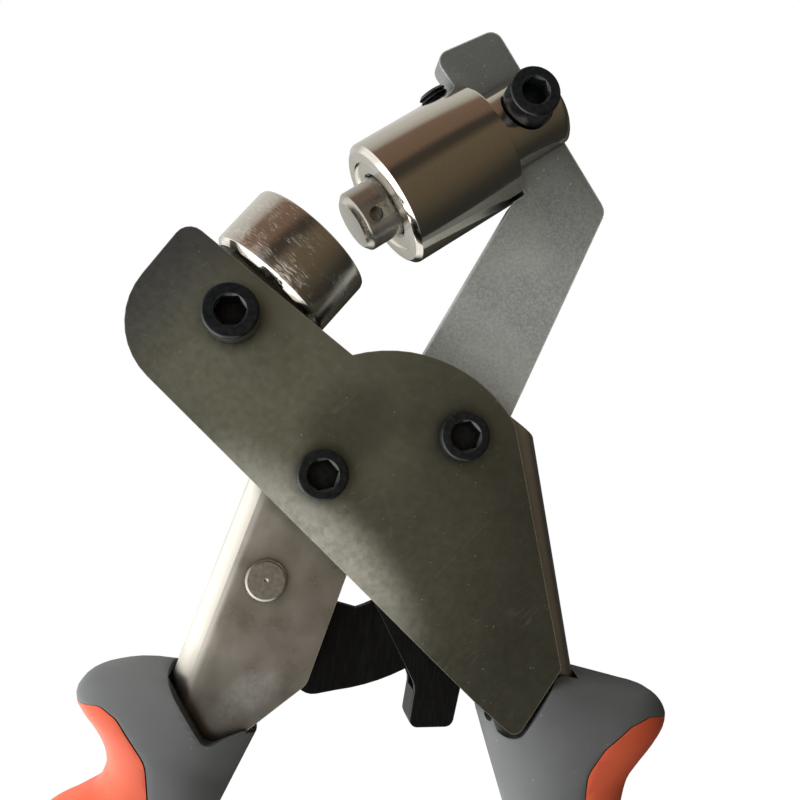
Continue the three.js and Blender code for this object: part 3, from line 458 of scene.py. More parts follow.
def channel_plate():
    """Handle channels: bright nickel-plated sheet, smudged and scuffed, with a painted highlight along the outer
    bend and on edges, and painted shade away from the bend, towards the grip's mouth and in recesses.
    """
    g = Graph("channel_plate")
    smudges = g.noise(0.12, 4.0, 0.6)
    fine = g.noise(1.2, 3.0)
    tone = g.mix(g.spread(smudges, 0.3, 0.7), grey(0.36, WARM), grey(0.46, WARM))
    across = g.vector("DOT_PRODUCT", g.place, (0.9385, 0, -0.3453))
    # Painted highlight along the outer bend, then painted shade falling away from it.
    tone = g.mix(g.spread(across, -32.5, -27.5, 0.7, 0.0), tone, grey(0.95, WARM))
    tone = g.mix(g.spread(across, -24.0, -10.0, 0.0, 0.35), tone, grey(0.25, WARM))
    lines = g.scratches(0.7, 6.0, (1, 0, -0.35), 0.008)
    tone = g.mix(g.math("MULTIPLY", lines, 0.3), tone, grey(0.24, WARM))
    worn = g.math("MULTIPLY", g.spot((-38, -45), (8, 4), 30), g.spread(fine, 0.3, 0.6, 0.5, 1.0))
    tone = g.mix(g.math("MULTIPLY", worn, 0.5), tone, grey(0.9))
    # Painted shade: darker towards the grip's mouth.
    mouth = g.spread(g.vector("DOT_PRODUCT", g.place, (0.35, 0, 0.94)), -58.0, -50.0, 0.5, 1.0)
    tone = g.shaded(tone, mouth)
    # Painted highlight along the edges.
    tone = g.mix(g.math("MULTIPLY", g.edges(0.3), 0.8), tone, grey(0.95, WARM))
    # Painted shade in recesses.
    tone = g.shaded(tone, g.recess_shade(2.5, 0.3))
    rough = g.spread(smudges, 0.3, 0.7, 0.24, 0.4)
    normal = g.bump(fine, 0.08, 0.04, g.bump(lines, -0.2, 0.03))
    return g.finish(tone, 0.9, rough, normal)


def turned_nickel(name, axis, grooves=0.12, roughness=(0.08, 0.2), tone=0.62, dashes=0.0):
    """Polished nickel over turned steel, with rings and short dashes left by the lathe tool, the dashes painted
    bright as glints, a painted highlight on edges and painted shade in recesses.
    """
    g = Graph(name)
    position = g.vector("DOT_PRODUCT", g.place, tuple(axis))
    rings = g.add(
        "ShaderNodeTexNoise", {"noise_dimensions": "1D"},
        {"W": position, "Scale": 5.0, "Detail": 4.0, "Roughness": 0.7},
    ).outputs["Fac"]
    worn = g.spread(g.noise(0.18, 3.0, 0.6), 0.4, 0.62)
    height = g.math("MULTIPLY", rings, g.spread(worn, 0.0, 1.0, 0.35, 1.0))
    pits = g.spread(g.noise(1.9, 2.0), 0.71, 0.74)
    base = g.mix(g.spread(rings, 0.3, 0.7), grey(tone * 0.85, WARM), grey(tone, WARM))
    base = g.mix(g.math("MULTIPLY", pits, 0.6), base, grey(1.0))
    streaks = g.noise(4.6, 2.0, 0.6, g.along(axis, 1.0, 9.0))
    patches = g.spread(g.noise(0.2, 3.0, 0.6), 0.38, 0.6)
    # Lathe-tool dashes: real marks that roughen and dent the surface, painted bright as their glints.
    cut_marks_and_glints = g.math("MULTIPLY", g.math("MULTIPLY", g.spread(streaks, 0.49, 0.62), patches), dashes)
    base = g.mix(cut_marks_and_glints, base, grey(0.9))
    # Painted highlight on edges and chamfers.
    base = g.mix(g.math("MULTIPLY", g.edges(0.3), 0.6), base, grey(0.95, WARM))
    # Painted shade in recesses.
    base = g.shaded(base, g.recess_shade(2.0, 0.25))
    rough = g.spread(height, 0.2, 0.8, roughness[0], roughness[1])
    rough = g.math("ADD", rough, g.math("MULTIPLY", cut_marks_and_glints, 0.25))
    mottle = g.bump(g.noise(0.5, 3.0, 0.6), 0.05, 0.12)
    normal = g.bump(cut_marks_and_glints, 0.5, 0.06, g.bump(height, grooves, 0.06, mottle))
    return g.finish(base, 1.0, rough, normal)


def plain_nickel():
    """Rivet head: dull nickel with fine dents and a painted highlight on its rim."""
    g = Graph("plain_nickel")
    fine = g.noise(1.4, 4.0)
    tone = g.mix(fine, grey(0.35, WARM), grey(0.46, WARM))
    # Painted highlight on the rim.
    tone = g.mix(g.math("MULTIPLY", g.edges(0.4), 0.8), tone, grey(0.85, WARM))
    return g.finish(tone, 1.0, g.spread(fine, 0.3, 0.7, 0.3, 0.42), g.bump(fine, 0.2, 0.05))


def black_oxide():
    """Screws: oiled black oxide, with a painted highlight on the edges and painted shade in recesses."""
    g = Graph("black_oxide")
    fine = g.noise(1.0, 3.0)
    tone = g.mix(g.spread(fine, 0.35, 0.7), grey(0.006, (0.8, 1.0, 1.15)), grey(0.013, (0.85, 1.0, 1.1)))
    # Painted highlight on edges.
    tone = g.mix(g.math("MULTIPLY", g.edges(0.16, 0.75, 0.97), 0.3), tone, grey(0.35))
    # Painted shade in recesses, in colour and in weaker reflections (shine).
    tone = g.shaded(tone, g.recess_shade(2.5, 0.15))
    rough = g.spread(fine, 0.3, 0.7, 0.14, 0.22)
    shine = g.math("MULTIPLY", g.recess_shade(2.5, 0.1), 0.42)
    return g.finish(tone, 0.1, rough, g.bump(fine, 0.05, 0.04), Specular_IOR_Level=shine)


def black_sheet():
    """Ratchet sector and trigger: blackened sheet with brush marks."""
    g = Graph("black_sheet")
    brush = g.noise(3.5, 3.0, 0.6, g.along((0.1, 0, 1), 14.0))
    tone = g.mix(g.spread(brush, 0.45, 0.75), grey(0.003), grey(0.009))
    tone = g.mix(g.math("MULTIPLY", g.edges(0.25), 0.35), tone, grey(0.2, WARM))
    rough = g.spread(brush, 0.3, 0.7, 0.34, 0.5)
    return g.finish(tone, 0.0, rough, g.bump(brush, 0.1, 0.05), Specular_IOR_Level=0.12)


def zinc_plate():
    """Nuts, bushes and pins: bright zinc plate."""
    g = Graph("zinc_plate")
    fine = g.noise(0.9, 3.0)
    tone = g.mix(fine, grey(0.5, (0.97, 1.0, 1.03)), grey(0.68))
    tone = g.mix(g.math("MULTIPLY", g.edges(0.2), 0.5), tone, grey(0.9))
    return g.finish(tone, 1.0, g.spread(fine, 0.3, 0.7, 0.2, 0.36), g.bump(fine, 0.06, 0.05))


def spring_wire():
    g = Graph("spring_wire")
    fine = g.noise(2.0, 2.0)
    return g.finish(g.mix(fine, grey(0.3), grey(0.5)), 1.0, g.spread(fine, 0.3, 0.7, 0.25, 0.4))


def moulded(name, low, high, roughness, grain):
    """Moulded grip: a fine sparked texture, with painted shade to the right and in recesses, dust and rubbed
    patches.
    """
    g = Graph(name)
    drift = g.noise(0.05, 3.0)
    rubbed_sheen = g.spread(g.noise(0.12, 4.0, 0.6), 0.5, 0.7)
    fine = g.noise(grain, 2.0, 0.6)
    tone = g.mix(g.spread(drift, 0.3, 0.7), low, high)
    # Painted light and shade: lighter to the left, darker to the right.
    side = g.spread(g.vector("DOT_PRODUCT", g.place, (1, 0, 0)), -30.0, 20.0, 1.1, 0.8)
    tone = g.shaded(tone, side)
    dust = g.spread(g.noise(1.1, 2.0), 0.73, 0.78)
    tone = g.mix(g.math("MULTIPLY", dust, 0.25), tone, grey(0.6))
    # Painted shade in recesses.
    tone = g.shaded(tone, g.recess_shade(4.0, 0.25))
    rough = g.math("SUBTRACT", roughness, g.math("MULTIPLY", rubbed_sheen, 0.12))
    return g.finish(tone, 0.0, rough, g.bump(fine, 0.22, 0.06), Specular_IOR_Level=0.42)


PUNCH_AXIS = PUNCH.to_3x3() @ Vector((1, 0, 0)) / MM
ANVIL_AXIS = ANVIL.to_3x3() @ Vector((1, 0, 0)) / MM
PLATE = blackened_plate()
ARM = ground_steel()
CHANNEL = channel_plate()
SLEEVE = turned_nickel("sleeve_nickel", PUNCH_AXIS, 0.05, (0.09, 0.18), 0.64)
TURNED_ANVIL = turned_nickel("anvil_nickel", ANVIL_AXIS, 0.2, (0.1, 0.22), 0.7, 0.6)
PIN_STEEL = turned_nickel("pin_steel", PUNCH_AXIS, 0.08, (0.26, 0.4), 0.48)
RIVET = plain_nickel()
BLACK = black_oxide()
SHEET = black_sheet()
ZINC = zinc_plate()
WIRE = spring_wire()
GREY_GRIP = moulded("grey_grip", grey(0.105, (0.94, 1, 1.02)), grey(0.135, (0.95, 1, 1.01)), 0.6, 5.0)
ORANGE_GRIP = moulded("orange_grip", (0.58, 0.09, 0.04, 1), (0.66, 0.12, 0.052, 1), 0.5, 4.0)


# ---------- dies ----------
def build_punch_holder():
    bore = PUNCH_RADIUS + GAP
    bore_end = PIN_END + GAP
    step = 9.4
    sleeve = [
        (bore_end, 0), (bore_end, bore), (SLEEVE_FRONT + 1.1, bore), (SLEEVE_FRONT + 0.5, bore + 0.6),
        (SLEEVE_FRONT + 0.5, step), (SLEEVE_FRONT + 0.3, step + 0.25), (SLEEVE_FRONT, step + 0.4),
        (SLEEVE_FRONT, DIE_RADIUS - 1.15), (SLEEVE_FRONT + 0.15, DIE_RADIUS - 0.9),
        (SLEEVE_FRONT + 0.9, DIE_RADIUS - 0.1), (SLEEVE_FRONT + 1.2, DIE_RADIUS),
        (SLEEVE_BACK - 0.7, DIE_RADIUS), (SLEEVE_BACK - 0.25, DIE_RADIUS - 0.2), (SLEEVE_BACK, DIE_RADIUS - 0.7),
        (SLEEVE_BACK, SHANK_RADIUS + 0.4), (SLEEVE_BACK + 0.3, SHANK_RADIUS),
    ]
    round_end = 2.4
    shank = [
        (
            SHANK_END - round_end + round_end * math.sin(a),
            SHANK_RADIUS - round_end + round_end * math.cos(a),
        )
        for a in [math.radians(t) for t in range(0, 91, 15)]
    ]
    holder = lathe("punch_holder_fine", sleeve + shank + [(SHANK_END, 0)], PUNCH, 128)
    slot = ARM_HALF + GAP
    top = SHANK_RADIUS + 2
    outline = [(SLEEVE_BACK, -top), (SHANK_END + 2, -top), (SHANK_END + 2, top), (SLEEVE_BACK, top)]
    combine(holder, prism("slot", outline, -slot, slot, PUNCH))
    at = (CLAMP_ALONG, CLAMP_ACROSS)
    combine(holder, prism("hole", circle(3.05, at), -DIE_RADIUS - 1, DIE_RADIUS + 1, PUNCH))
    combine(holder, prism("seat", circle(5.4, at), -DIE_RADIUS - 1, -CLAMP_SEAT, PUNCH))
    combine(holder, prism("seat", circle(6.0, at), CLAMP_SEAT, DIE_RADIUS + 1, PUNCH))
    combine(holder, lathe("tapped", [(0, 0), (0, 2.98), (DIE_RADIUS + 3, 2.98), (DIE_RADIUS + 3, 0)],
                          set_screw_frame(), 48))
    return finish_piece(holder, "punch_holder", "punch_arm", SLEEVE, 28)


def set_screw_frame():
    """Local +X out along the set screw, leaning to the front."""
    lean = Matrix.Rotation(math.radians(90 + SET_SCREW_LEAN), 4, "X")
    return PUNCH @ Matrix.Translation((SET_SCREW_ALONG, 0, 0)) @ lean @ Matrix.Rotation(math.pi / 2, 4, "Z")


def build_punch_pin():
    profile = [
        (PUNCH_TIP, 0), (PUNCH_TIP, PUNCH_RADIUS - 1.3), (PUNCH_TIP + 0.12, PUNCH_RADIUS - 1.1),
        (PUNCH_TIP + 1.0, PUNCH_RADIUS - 0.12), (PUNCH_TIP + 1.3, PUNCH_RADIUS),
        (PIN_END - 1, PUNCH_RADIUS), (PIN_END, PUNCH_RADIUS - 1), (PIN_END, 0),
    ]
    pin = lathe("punch_pin_fine", profile, PUNCH, 96)
    cross = circle(1.4, (PUNCH_TIP + 3.6, -1.8), 32)
    depth = 4.6
    combine(pin, prism("cross", cross, -PUNCH_RADIUS - 1, -depth, PUNCH))
    return finish_piece(pin, "punch_pin", "punch_arm", PIN_STEEL, 28)


def build_anvil():
    recess = 8.0
    floor = 3.4
    profile = [
        (ANVIL_BOTTOM, 0), (ANVIL_BOTTOM, DIE_RADIUS - 1.2), (ANVIL_BOTTOM + 0.15, DIE_RADIUS - 0.95),
        (ANVIL_BOTTOM + 0.95, DIE_RADIUS - 0.1), (ANVIL_BOTTOM + 1.2, DIE_RADIUS),
        (ANVIL_TOP - 0.9, DIE_RADIUS), (ANVIL_TOP - 0.3, DIE_RADIUS - 0.2), (ANVIL_TOP, DIE_RADIUS - 0.9),
        (ANVIL_TOP, recess + 0.7), (ANVIL_TOP - 0.7, recess), (floor, recess), (floor, 0),
    ]
    holder = lathe("anvil_holder_fine", profile, ANVIL, 128)
    half = PLATE_INNER - GAP
    width = 8.0
    arc = [
        (ANVIL_SCREW_ALONG + width * math.cos(a), width * math.sin(a))
        for a in [math.radians(t) for t in range(90, 271, 6)]
    ]
    tang = prism("tang", [(ANVIL_BOTTOM + 1, -width), (ANVIL_BOTTOM + 1, width)] + arc, -half, half, ANVIL)
    combine(holder, tang, "UNION")
    screw_hole = circle(SCREW_HOLE, (ANVIL_SCREW_ALONG, ANVIL_SCREW_ACROSS))
    combine(holder, prism("hole", screw_hole, -PLATE_OUTER, PLATE_OUTER, ANVIL))
    finish_piece(holder, "anvil_holder", "frame", TURNED_ANVIL, 28)

    base = floor + GAP
    top = 6.2
    cup = [(top, 4.3), (top - 0.45, 3.6), (top - 0.85, 2.4), (top - 1.15, 1.0), (top - 1.2, 0)]
    die = lathe("anvil_die_fine", [(base, 0), (base, recess - GAP), (top - 0.4, recess - GAP),
                                   (top, recess - GAP - 0.4)] + cup, ANVIL, 96)
    finish_piece(die, "anvil_die", "frame", ARM, 28)


# ---------- fasteners ----------
def along_y(matrix, x, y, z):
    """A frame whose local +X runs along the row's +Y, at a point of another frame."""
    return matrix @ Matrix.Translation((x, y, z)) @ Matrix.Rotation(math.pi / 2, 4, "Z")


def cap_screw(name, matrix, head_radius, head_height, shank_radius, length):
    """A socket head screw: rounded rim, countersunk hexagon socket, plain shank with a chamfered end."""
    rim = 0.55
    arc = [
        (-head_height + rim - rim * math.cos(a), head_radius - rim + rim * math.sin(a))
        for a in [math.radians(t) for t in range(0, 91, 18)]
    ]
    head = [(-head_height, 0)] + arc + [(-0.3, head_radius), (0, head_radius - 0.25)]
    shank = [(0, shank_radius), (length - 0.7, shank_radius), (length, shank_radius - 0.7), (length, 0)]
    body = lathe(name, head + shank, matrix, 96)
    socket_radius = SOCKET_ACROSS / 2 / math.cos(math.pi / 6)
    socket_turn = math.radians(12)
    socket = circle(socket_radius, (0, 0), 6, socket_turn)
    upright = matrix @ Matrix.Rotation(-math.pi / 2, 4, "Z")
    combine(body, prism("socket", socket, -head_height - 1, -head_height * 0.4, upright))
    mouth = [(-head_height - 0.4, 0), (-head_height - 0.4, socket_radius + 0.45),
             (-head_height + 0.45, socket_radius - 0.45), (-head_height + 0.45, 0)]
    combine(body, lathe("mouth", mouth, matrix, 48))
    return body


def hex_nut(name, matrix, across, height, hole):
    """A hexagon nut with chamfered corners and a countersunk hole."""
    corner = across / 2 / math.cos(math.pi / 6)
    nut = prism(name, circle(corner, (0, 0), 6), 0, height, matrix @ Matrix.Rotation(-math.pi / 2, 4, "Z"))
    cone = 0.75
    barrel = [(0, 0), (0, corner - cone), (cone * 0.55, corner), (height - cone * 0.55, corner),
              (height, corner - cone), (height, 0)]
    combine(nut, lathe("barrel", barrel, matrix, 64), "INTERSECT")
    bore = [(-1, 0), (-1, hole + 1.4), (0.5, hole), (height - 0.5, hole), (height + 1, hole + 1.4), (height + 1, 0)]
    combine(nut, lathe("bore", bore, matrix, 48))
    return nut


def build_fasteners():
    thread = 3.0
    nut = {"across": 10.0, "height": 5.0, "hole": SCREW_HOLE}
    for name, (x, z) in (("arm_pivot", ARM_PIVOT), ("handle_pivot", HANDLE_PIVOT)):
        bolt = cap_screw(name + "_bolt_fine", along_y(ROW, x, -PLATE_OUTER, z), *PIVOT_HEAD, thread,
                         2 * PLATE_OUTER + THREAD_END)
        finish_piece(bolt, name + "_bolt", "frame", BLACK, 25)
        piece = hex_nut(name + "_nut_fine", along_y(ROW, x, PLATE_OUTER, z), **nut)
        finish_piece(piece, name + "_nut", "frame", ZINC, 25)
    at = (ANVIL_SCREW_ALONG, -PLATE_OUTER, ANVIL_SCREW_ACROSS)
    bolt = cap_screw("anvil_clamp_screw_fine", along_y(ANVIL, *at), *CLAMP_HEAD, CLAMP_SHANK,
                     2 * PLATE_OUTER + THREAD_END)
    finish_piece(bolt, "anvil_clamp_screw", "frame", BLACK, 25)
    nut_at = (ANVIL_SCREW_ALONG, PLATE_OUTER, ANVIL_SCREW_ACROSS)
    piece = hex_nut("anvil_clamp_nut_fine", along_y(ANVIL, *nut_at), **nut)
    finish_piece(piece, "anvil_clamp_nut", "frame", ZINC, 25)
    seat = CLAMP_SEAT + 0.05
    past_seat = 5
    bolt = cap_screw("punch_clamp_screw_fine", along_y(PUNCH, CLAMP_ALONG, -seat, CLAMP_ACROSS), *CLAMP_HEAD,
                     CLAMP_SHANK, 2 * CLAMP_SEAT + past_seat)
    finish_piece(bolt, "punch_clamp_screw", "punch_arm", BLACK, 25)
    nut["height"] = 4.0
    piece = hex_nut("punch_clamp_nut_fine", along_y(PUNCH, CLAMP_ALONG, seat, CLAMP_ACROSS), **nut)
    finish_piece(piece, "punch_clamp_nut", "punch_arm", ZINC, 25)


def build_set_screw():
    """The grub screw, its thread drawn as rings."""
    radius = 2.9
    pitch = 0.8
    depth = 0.35
    inner, outer = PUNCH_RADIUS + 0.1, DIE_RADIUS + SET_SCREW_OUT
    matrix = set_screw_frame()
    thread = []
    for i in range(int((outer - inner - 0.6) / pitch)):
        crest = outer - 0.45 - i * pitch
        thread += [(crest, radius), (crest - 0.1, radius), (crest - pitch / 2, radius - depth)]
    profile = [(outer, 0), (outer, radius - 0.5)] + thread + [(inner, radius - 0.8), (inner, 0)]
    screw = lathe("punch_set_screw_fine", profile, matrix, 64)
    across = 3.0
    depth_of_socket = 2.6
    socket = circle(across / 2 / math.cos(math.pi / 6), (0, 0), 6)
    combine(screw, prism("socket", socket, outer - depth_of_socket, outer + 1,
                         matrix @ Matrix.Rotation(-math.pi / 2, 4, "Z")))
    finish_piece(screw, "punch_set_screw", "punch_arm", BLACK, 25)


def rivet_head(sign):
    """Half the rivet's profile along one side of the mid plane, from its dimple to its shank."""
    shoulder = 6.42
    face = shoulder + 0.9
    radius = 3.7
    shank = 2.4
    return [
        (sign * (face - 0.2), 0), (sign * (face - 0.15), 0.22), (sign * face, 0.4),
        (sign * face, radius - 0.45), (sign * (face - 0.12), radius - 0.15),
        (sign * (face - 0.4), radius), (sign * shoulder, radius), (sign * shoulder, shank),
    ]


def build_rivet():
    """The sector's rivet: flat heads with rounded rims and the small dimple of the rivet tool."""
    x, z = SECTOR_RIVET
    profile = rivet_head(-1) + rivet_head(1)[::-1]
    rivet = lathe("sector_rivet_fine", profile, along_y(ROW, x, 0, z), 64)
    finish_piece(rivet, "sector_rivet", "moving_handle", RIVET, 15)


# ---------- grips ----------
# x, z, lean in degrees and the sign of the way out.
GRIP_PLACE = {"moving": (-54.2, -50.9, -27.6, -1), "fixed": (26.0, -55.9, 15.5, 1)}
OUTER_LOWER = [(38, 13.2), (60, 12.6), (82, 11.4), (98, 11), (103.5, 8.5), (106, 3)]
INNER_LOWER = [(30, -15.6), (55, -13), (80, -12), (97, -11.5), (103.5, -9), (106, -3.5)]
OUTER_SIDE = {
    "moving": [
        (-10.7, 1), (-9.3, 5.7), (-8.4, 8.1), (-6.6, 11.1), (-4.7, 13.4), (-2.7, 14.7), (-0.9, 15), (0.4, 14.5),
        (1.3, 13.3), (2.4, 10.8), (3.9, 8.1), (5.7, 5.9), (8.2, 4.3), (11, 4), (15.1, 6.4), (19, 9.5), (25, 12),
    ] + OUTER_LOWER,
    "fixed": [
        (-13.6, -1), (-10, 4.9), (-6.6, 10.5), (-4.5, 13.8), (-2, 15.5), (-0.4, 15.8), (1.4, 15), (3.5, 12.4),
        (5.6, 8.7), (7.6, 5.5), (11, 2.9), (14.3, 1.2), (17.5, 1.6), (21, 4.6), (26, 8.9), (31, 11.7),
    ] + OUTER_LOWER,
}
INNER_SIDE = {
    "moving": [(-10.7, -16), (-8, -16.6), (12, -16.6)] + INNER_LOWER,
    "fixed": [(-13.6, -18.2), (-10, -19.2), (7, -19)] + INNER_LOWER,
}
# The coloured inlays' outlines as (out, down, corner radius).
INLAYS = {
    "moving": [
        (30, 2.4, 0), (15, 1.4, 1), (9.5, -1.6, 3), (6, -1.2, 4), (-1.6, 3, 6), (-5.8, 9.5, 8), (-6.5, 60, 30),
        (1, 90, 20), (30, 98, 0),
    ],
    "fixed": [
        (30, 1.6, 0), (16, 0.8, 1), (10, -2, 3), (5.6, -2, 3), (-0.5, 0, 5), (-4.8, 3.2, 5), (-7.3, 9.5, 8),
        (-7.6, 60, 30), (0, 90, 20), (30, 98, 0),
    ],
}
HALF_THICKNESS = [
    (-13.6, 8.8), (-9, 10.4), (-2, 11), (11, 10.2), (25, 11), (55, 11.6), (85, 11), (98, 10), (103.5, 7.5),
    (106, 3),
]


def curve_value(curve, s):
    """Smooth monotone reading of a curve of (distance, value) pairs."""
    if s <= curve[0][0]:
        return curve[0][1]
    if s >= curve[-1][0]:
        return curve[-1][1]
    slopes = [(b[1] - a[1]) / (b[0] - a[0]) for a, b in zip(curve, curve[1:])]
    tangents = [slopes[0]]
    for left, right in zip(slopes, slopes[1:]):
        tangents.append(0.0 if left * right <= 0 else 2 * left * right / (left + right))
    tangents.append(slopes[-1])
    for i, (a, b) in enumerate(zip(curve, curve[1:])):
        if s <= b[0]:
            width = b[0] - a[0]
            t = (s - a[0]) / width
            return (
                a[1] * (2 * t**3 - 3 * t**2 + 1) + tangents[i] * width * (t**3 - 2 * t**2 + t)
                + b[1] * (3 * t**2 - 2 * t**3) + tangents[i + 1] * width * (t**3 - t**2)
            )
    return curve[-1][1]


def grip_matrix(name):
    x, z, lean = GRIP_PLACE[name][:3]
    return frame_at(x, z, lean)


def grip_loft(name, inset, around=56, rings=140):
    """The grip's skin through rounded sections, moved inwards by an inset."""
    side = GRIP_PLACE[name][3]
    outer_side, inner_side = OUTER_SIDE[name], INNER_SIDE[name]
    top, end = outer_side[0][0], outer_side[-1][0]
    roundness = 0.82
    verts, faces = [], []
    for r in range(rings + 1):
        t = r / rings
        s = top + (end - top) * (t + 0.06 * math.sin(2 * math.pi * t) / (2 * math.pi))
        outer = curve_value(outer_side, s) - inset
        inner = curve_value(inner_side, s) + inset
        thick = max(curve_value(HALF_THICKNESS, s) - inset, 0.6)
        half = max((outer - inner) / 2, 0.6)
        shift = inset * (1 - 2 * t) if r in (0, rings) else 0
        for i in range(around):
            a = 2 * math.pi * i / around
            c, d = math.cos(a), math.sin(a)
            x = (outer + inner) / 2 + half * math.copysign(abs(c) ** roundness, c)
            verts.append((side * x, thick * math.copysign(abs(d) ** roundness, d), -(s + shift)))
    for r in range(rings):
        for i in range(around):
            j = (i + 1) % around
            a, b = r * around, (r + 1) * around
            faces.append((a + i, a + j, b + j, b + i))
    faces.append(tuple(range(around)))
    faces.append(tuple(range((rings + 1) * around - 1, rings * around - 1, -1)))
    return mesh_object(f"{name}_loft", verts, faces, grip_matrix(name))


def rounded(corners, steps=8):
    """A polygon's points with each corner (x, z, radius) rounded."""
    points = []
    for i, (x, z, radius) in enumerate(corners):
        corner = Vector((x, z))
        before = (Vector(corners[i - 1][:2]) - corner).normalized()
        after = (Vector(corners[(i + 1) % len(corners)][:2]) - corner).normalized()
        if not radius:
            points.append((x, z))
            continue
        half = math.acos(max(-1, min(1, before.dot(after)))) / 2
        centre = corner + (before + after).normalized() * (radius / math.sin(half))
        reach = radius / math.tan(half)
        start, stop = corner + before * reach - centre, corner + after * reach - centre
        sweep = start.angle_signed(stop)
        for k in range(steps + 1):
            a = -sweep * k / steps
            points.append((
                centre.x + start.x * math.cos(a) - start.y * math.sin(a),
                centre.y + start.x * math.sin(a) + start.y * math.cos(a),
            ))
    return points


def inlay_outline(name, grow):
    """An inlay's outline on the grip's side, grown by an allowance."""
    side = GRIP_PLACE[name][3]
    middle = 50
    corners = [(w - grow, s - grow if s < middle else s + grow, radius) for w, s, radius in INLAYS[name]]
    return [(side * w, -s) for w, s in rounded(corners)]


INLAY_DEPTH = 2.4
SEAM = 0.16
GRIP_REACH = 20                # past any grip's side, along Y


def build_grip(name, body, tang_frame, tang, notches, hole=None):
    """One grip: the grey shell, with an optional blind hole, and its inlay, parted by a fine seam."""
    matrix = grip_matrix(name)
    wide = GRIP_REACH

    inlay = grip_loft(name, 0)
    combine(inlay, prism("region", inlay_outline(name, 0), -wide, wide, matrix), "INTERSECT")
    combine(inlay, grip_loft(name, INLAY_DEPTH))
    bevel(inlay, 0.35, 50, 2)

    pocket = prism("pocket", inlay_outline(name, SEAM), -wide, wide, matrix)
    combine(pocket, grip_loft(name, INLAY_DEPTH + SEAM))
    shell = grip_loft(name, 0)
    combine(shell, pocket)
    room = CHANNEL_HALF + GAP
    combine(shell, prism("tang", tang, -room, room, tang_frame))
    for outline, front, back in notches:
        combine(shell, prism("notch", rounded(outline), front, back))
    if hole:
        at, turn = hole
        drill = [(-2.5, 0), (-2.5, 1.1), (4, 1.1), (4, 0)]
        place = matrix @ Matrix.Translation(at) @ Matrix.Rotation(math.radians(turn), 4, "Z")
        combine(shell, lathe("drill", drill, place, 32))
    bevel(shell, 0.4, 50, 2)

    finish_piece(shell, f"{name}_grip_shell", body, GREY_GRIP, 40)
    finish_piece(inlay, f"{name}_grip_inlay", body, ORANGE_GRIP, 40)


# Room in the fixed grip for the side plates' tips, and the slanted mouth of the moving grip.
PLATE_TIP = [(18.9, -30, 0), (18.6, -42.4, 1), (9.5, -55.3, 2.5), (0.8, -48.6, 4), (-20, -28, 0)]
MOVING_MOUTH = [
    (-53, -30, 0), (-52.3, -39.4, 3), (-49.8, -44, 5), (-44.6, -52.7, 2.2), (-38.2, -50.8, 0.8), (-25, -62, 0),
    (-25, -30, 0),
]
MOVING_LEAN = 20.2
FIXED_LEAN = -8.7


def tang_outline(web, end, neck, neck_z, wide, wide_z):
    """Room for the channel's tang inside a grip."""
    out = math.copysign(GAP, web)
    return rounded([
        (web + out, 20, 0), (web + out, -82.3, 0), (end, -82.3, 1), (neck, neck_z, 2), (wide, wide_z, 0),
        (wide, 20, 0),
    ])


def build_grips():
    moving = frame_at(*HANDLE_PIVOT, -MOVING_LEAN)
    build_grip("moving", "moving_handle", moving, tang_outline(-12, -4.1, 3.4, -46.5, 12, -33),
               [(MOVING_MOUTH, -GRIP_REACH, GRIP_REACH)])
    fixed = frame_at(*ARM_PIVOT, -FIXED_LEAN)
    inside = PLATE_INNER - 0.7
    small_hole = ((-18.8, -5.0, 10.4), 217)
    build_grip("fixed", "frame", fixed, tang_outline(15.1, 7.6, 2.8, -50, -4.2, -38),
               [(PLATE_TIP, inside, GRIP_REACH), (PLATE_TIP, -GRIP_REACH, -inside)], small_hole)


# ---------- springs ----------
def coil(name, start, end, radius, wire, turns, material):
    """A helix of round wire between two points."""
    start, end = Vector(start), Vector(end)
    axis = (end - start).normalized()
    side = axis.orthogonal().normalized()
    other = axis.cross(side)
    length = (end - start).length
    steps = int(turns * 28)
    around = 10
    centres = []
    for i in range(steps + 1):
        t = i / steps
        a = 2 * math.pi * turns * t
        centres.append(start + axis * length * t + (side * math.cos(a) + other * math.sin(a)) * radius)
    verts, faces = [], []
    for i, centre in enumerate(centres):
        ahead = centres[min(i + 1, steps)] - centres[max(i - 1, 0)]
        across = ahead.cross(axis).normalized()
        up = ahead.cross(across).normalized()
        for k in range(around):
            a = 2 * math.pi * k / around
            verts.append(centre + (across * math.cos(a) + up * math.sin(a)) * wire)
    for i in range(steps):
        for k in range(around):
            j = (k + 1) % around
            faces.append((i * around + k, i * around + j, (i + 1) * around + j, (i + 1) * around + k))
    faces.append(tuple(range(around)))
    faces.append(tuple(range((steps + 1) * around - 1, steps * around - 1, -1)))
    obj = mesh_object(name, verts, faces)
    smooth(obj, 60)
    obj.data.materials.append(material)
    return obj


def build_springs():
    hook, anchor = Vector(SPRING_HOOK), Vector(SPRING_ANCHOR)
    axis = (anchor - hook).normalized()
    clear = 2.2
    spring = coil("return_spring_fine", hook + axis * clear, anchor - axis * clear, 1.9, 0.4, 9, WIRE)
    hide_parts("return_spring")
    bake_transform(spring)
    x, z = TRIGGER_PIVOT
    pawl = coil("pawl_spring_fine", (x, 1.95, z), (x, 2.7, z), 2.1, 0.28, 1.4, WIRE)
    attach(pawl, "release_trigger")
    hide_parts("pawl_spring")


# ---------- flat parts ----------
def build_flat_parts():
    refined("front_side_plate", 0.3, "frame", PLATE)
    refined("rear_side_plate", 0.3, "frame", PLATE)
    refined("punch_arm_plate", 0.6, "punch_arm", ARM)
    refined("moving_handle_channel", 0.15, "moving_handle", CHANNEL, 0.3)
    refined("fixed_handle_channel", 0.15, "frame", CHANNEL, 0.3)
    refined("ratchet_sector", 0.12, "moving_handle", SHEET)
    refined("release_trigger", 0.3, "release_trigger", SHEET)
    refined("ratchet_pawl", 0.15, "release_trigger", SHEET)


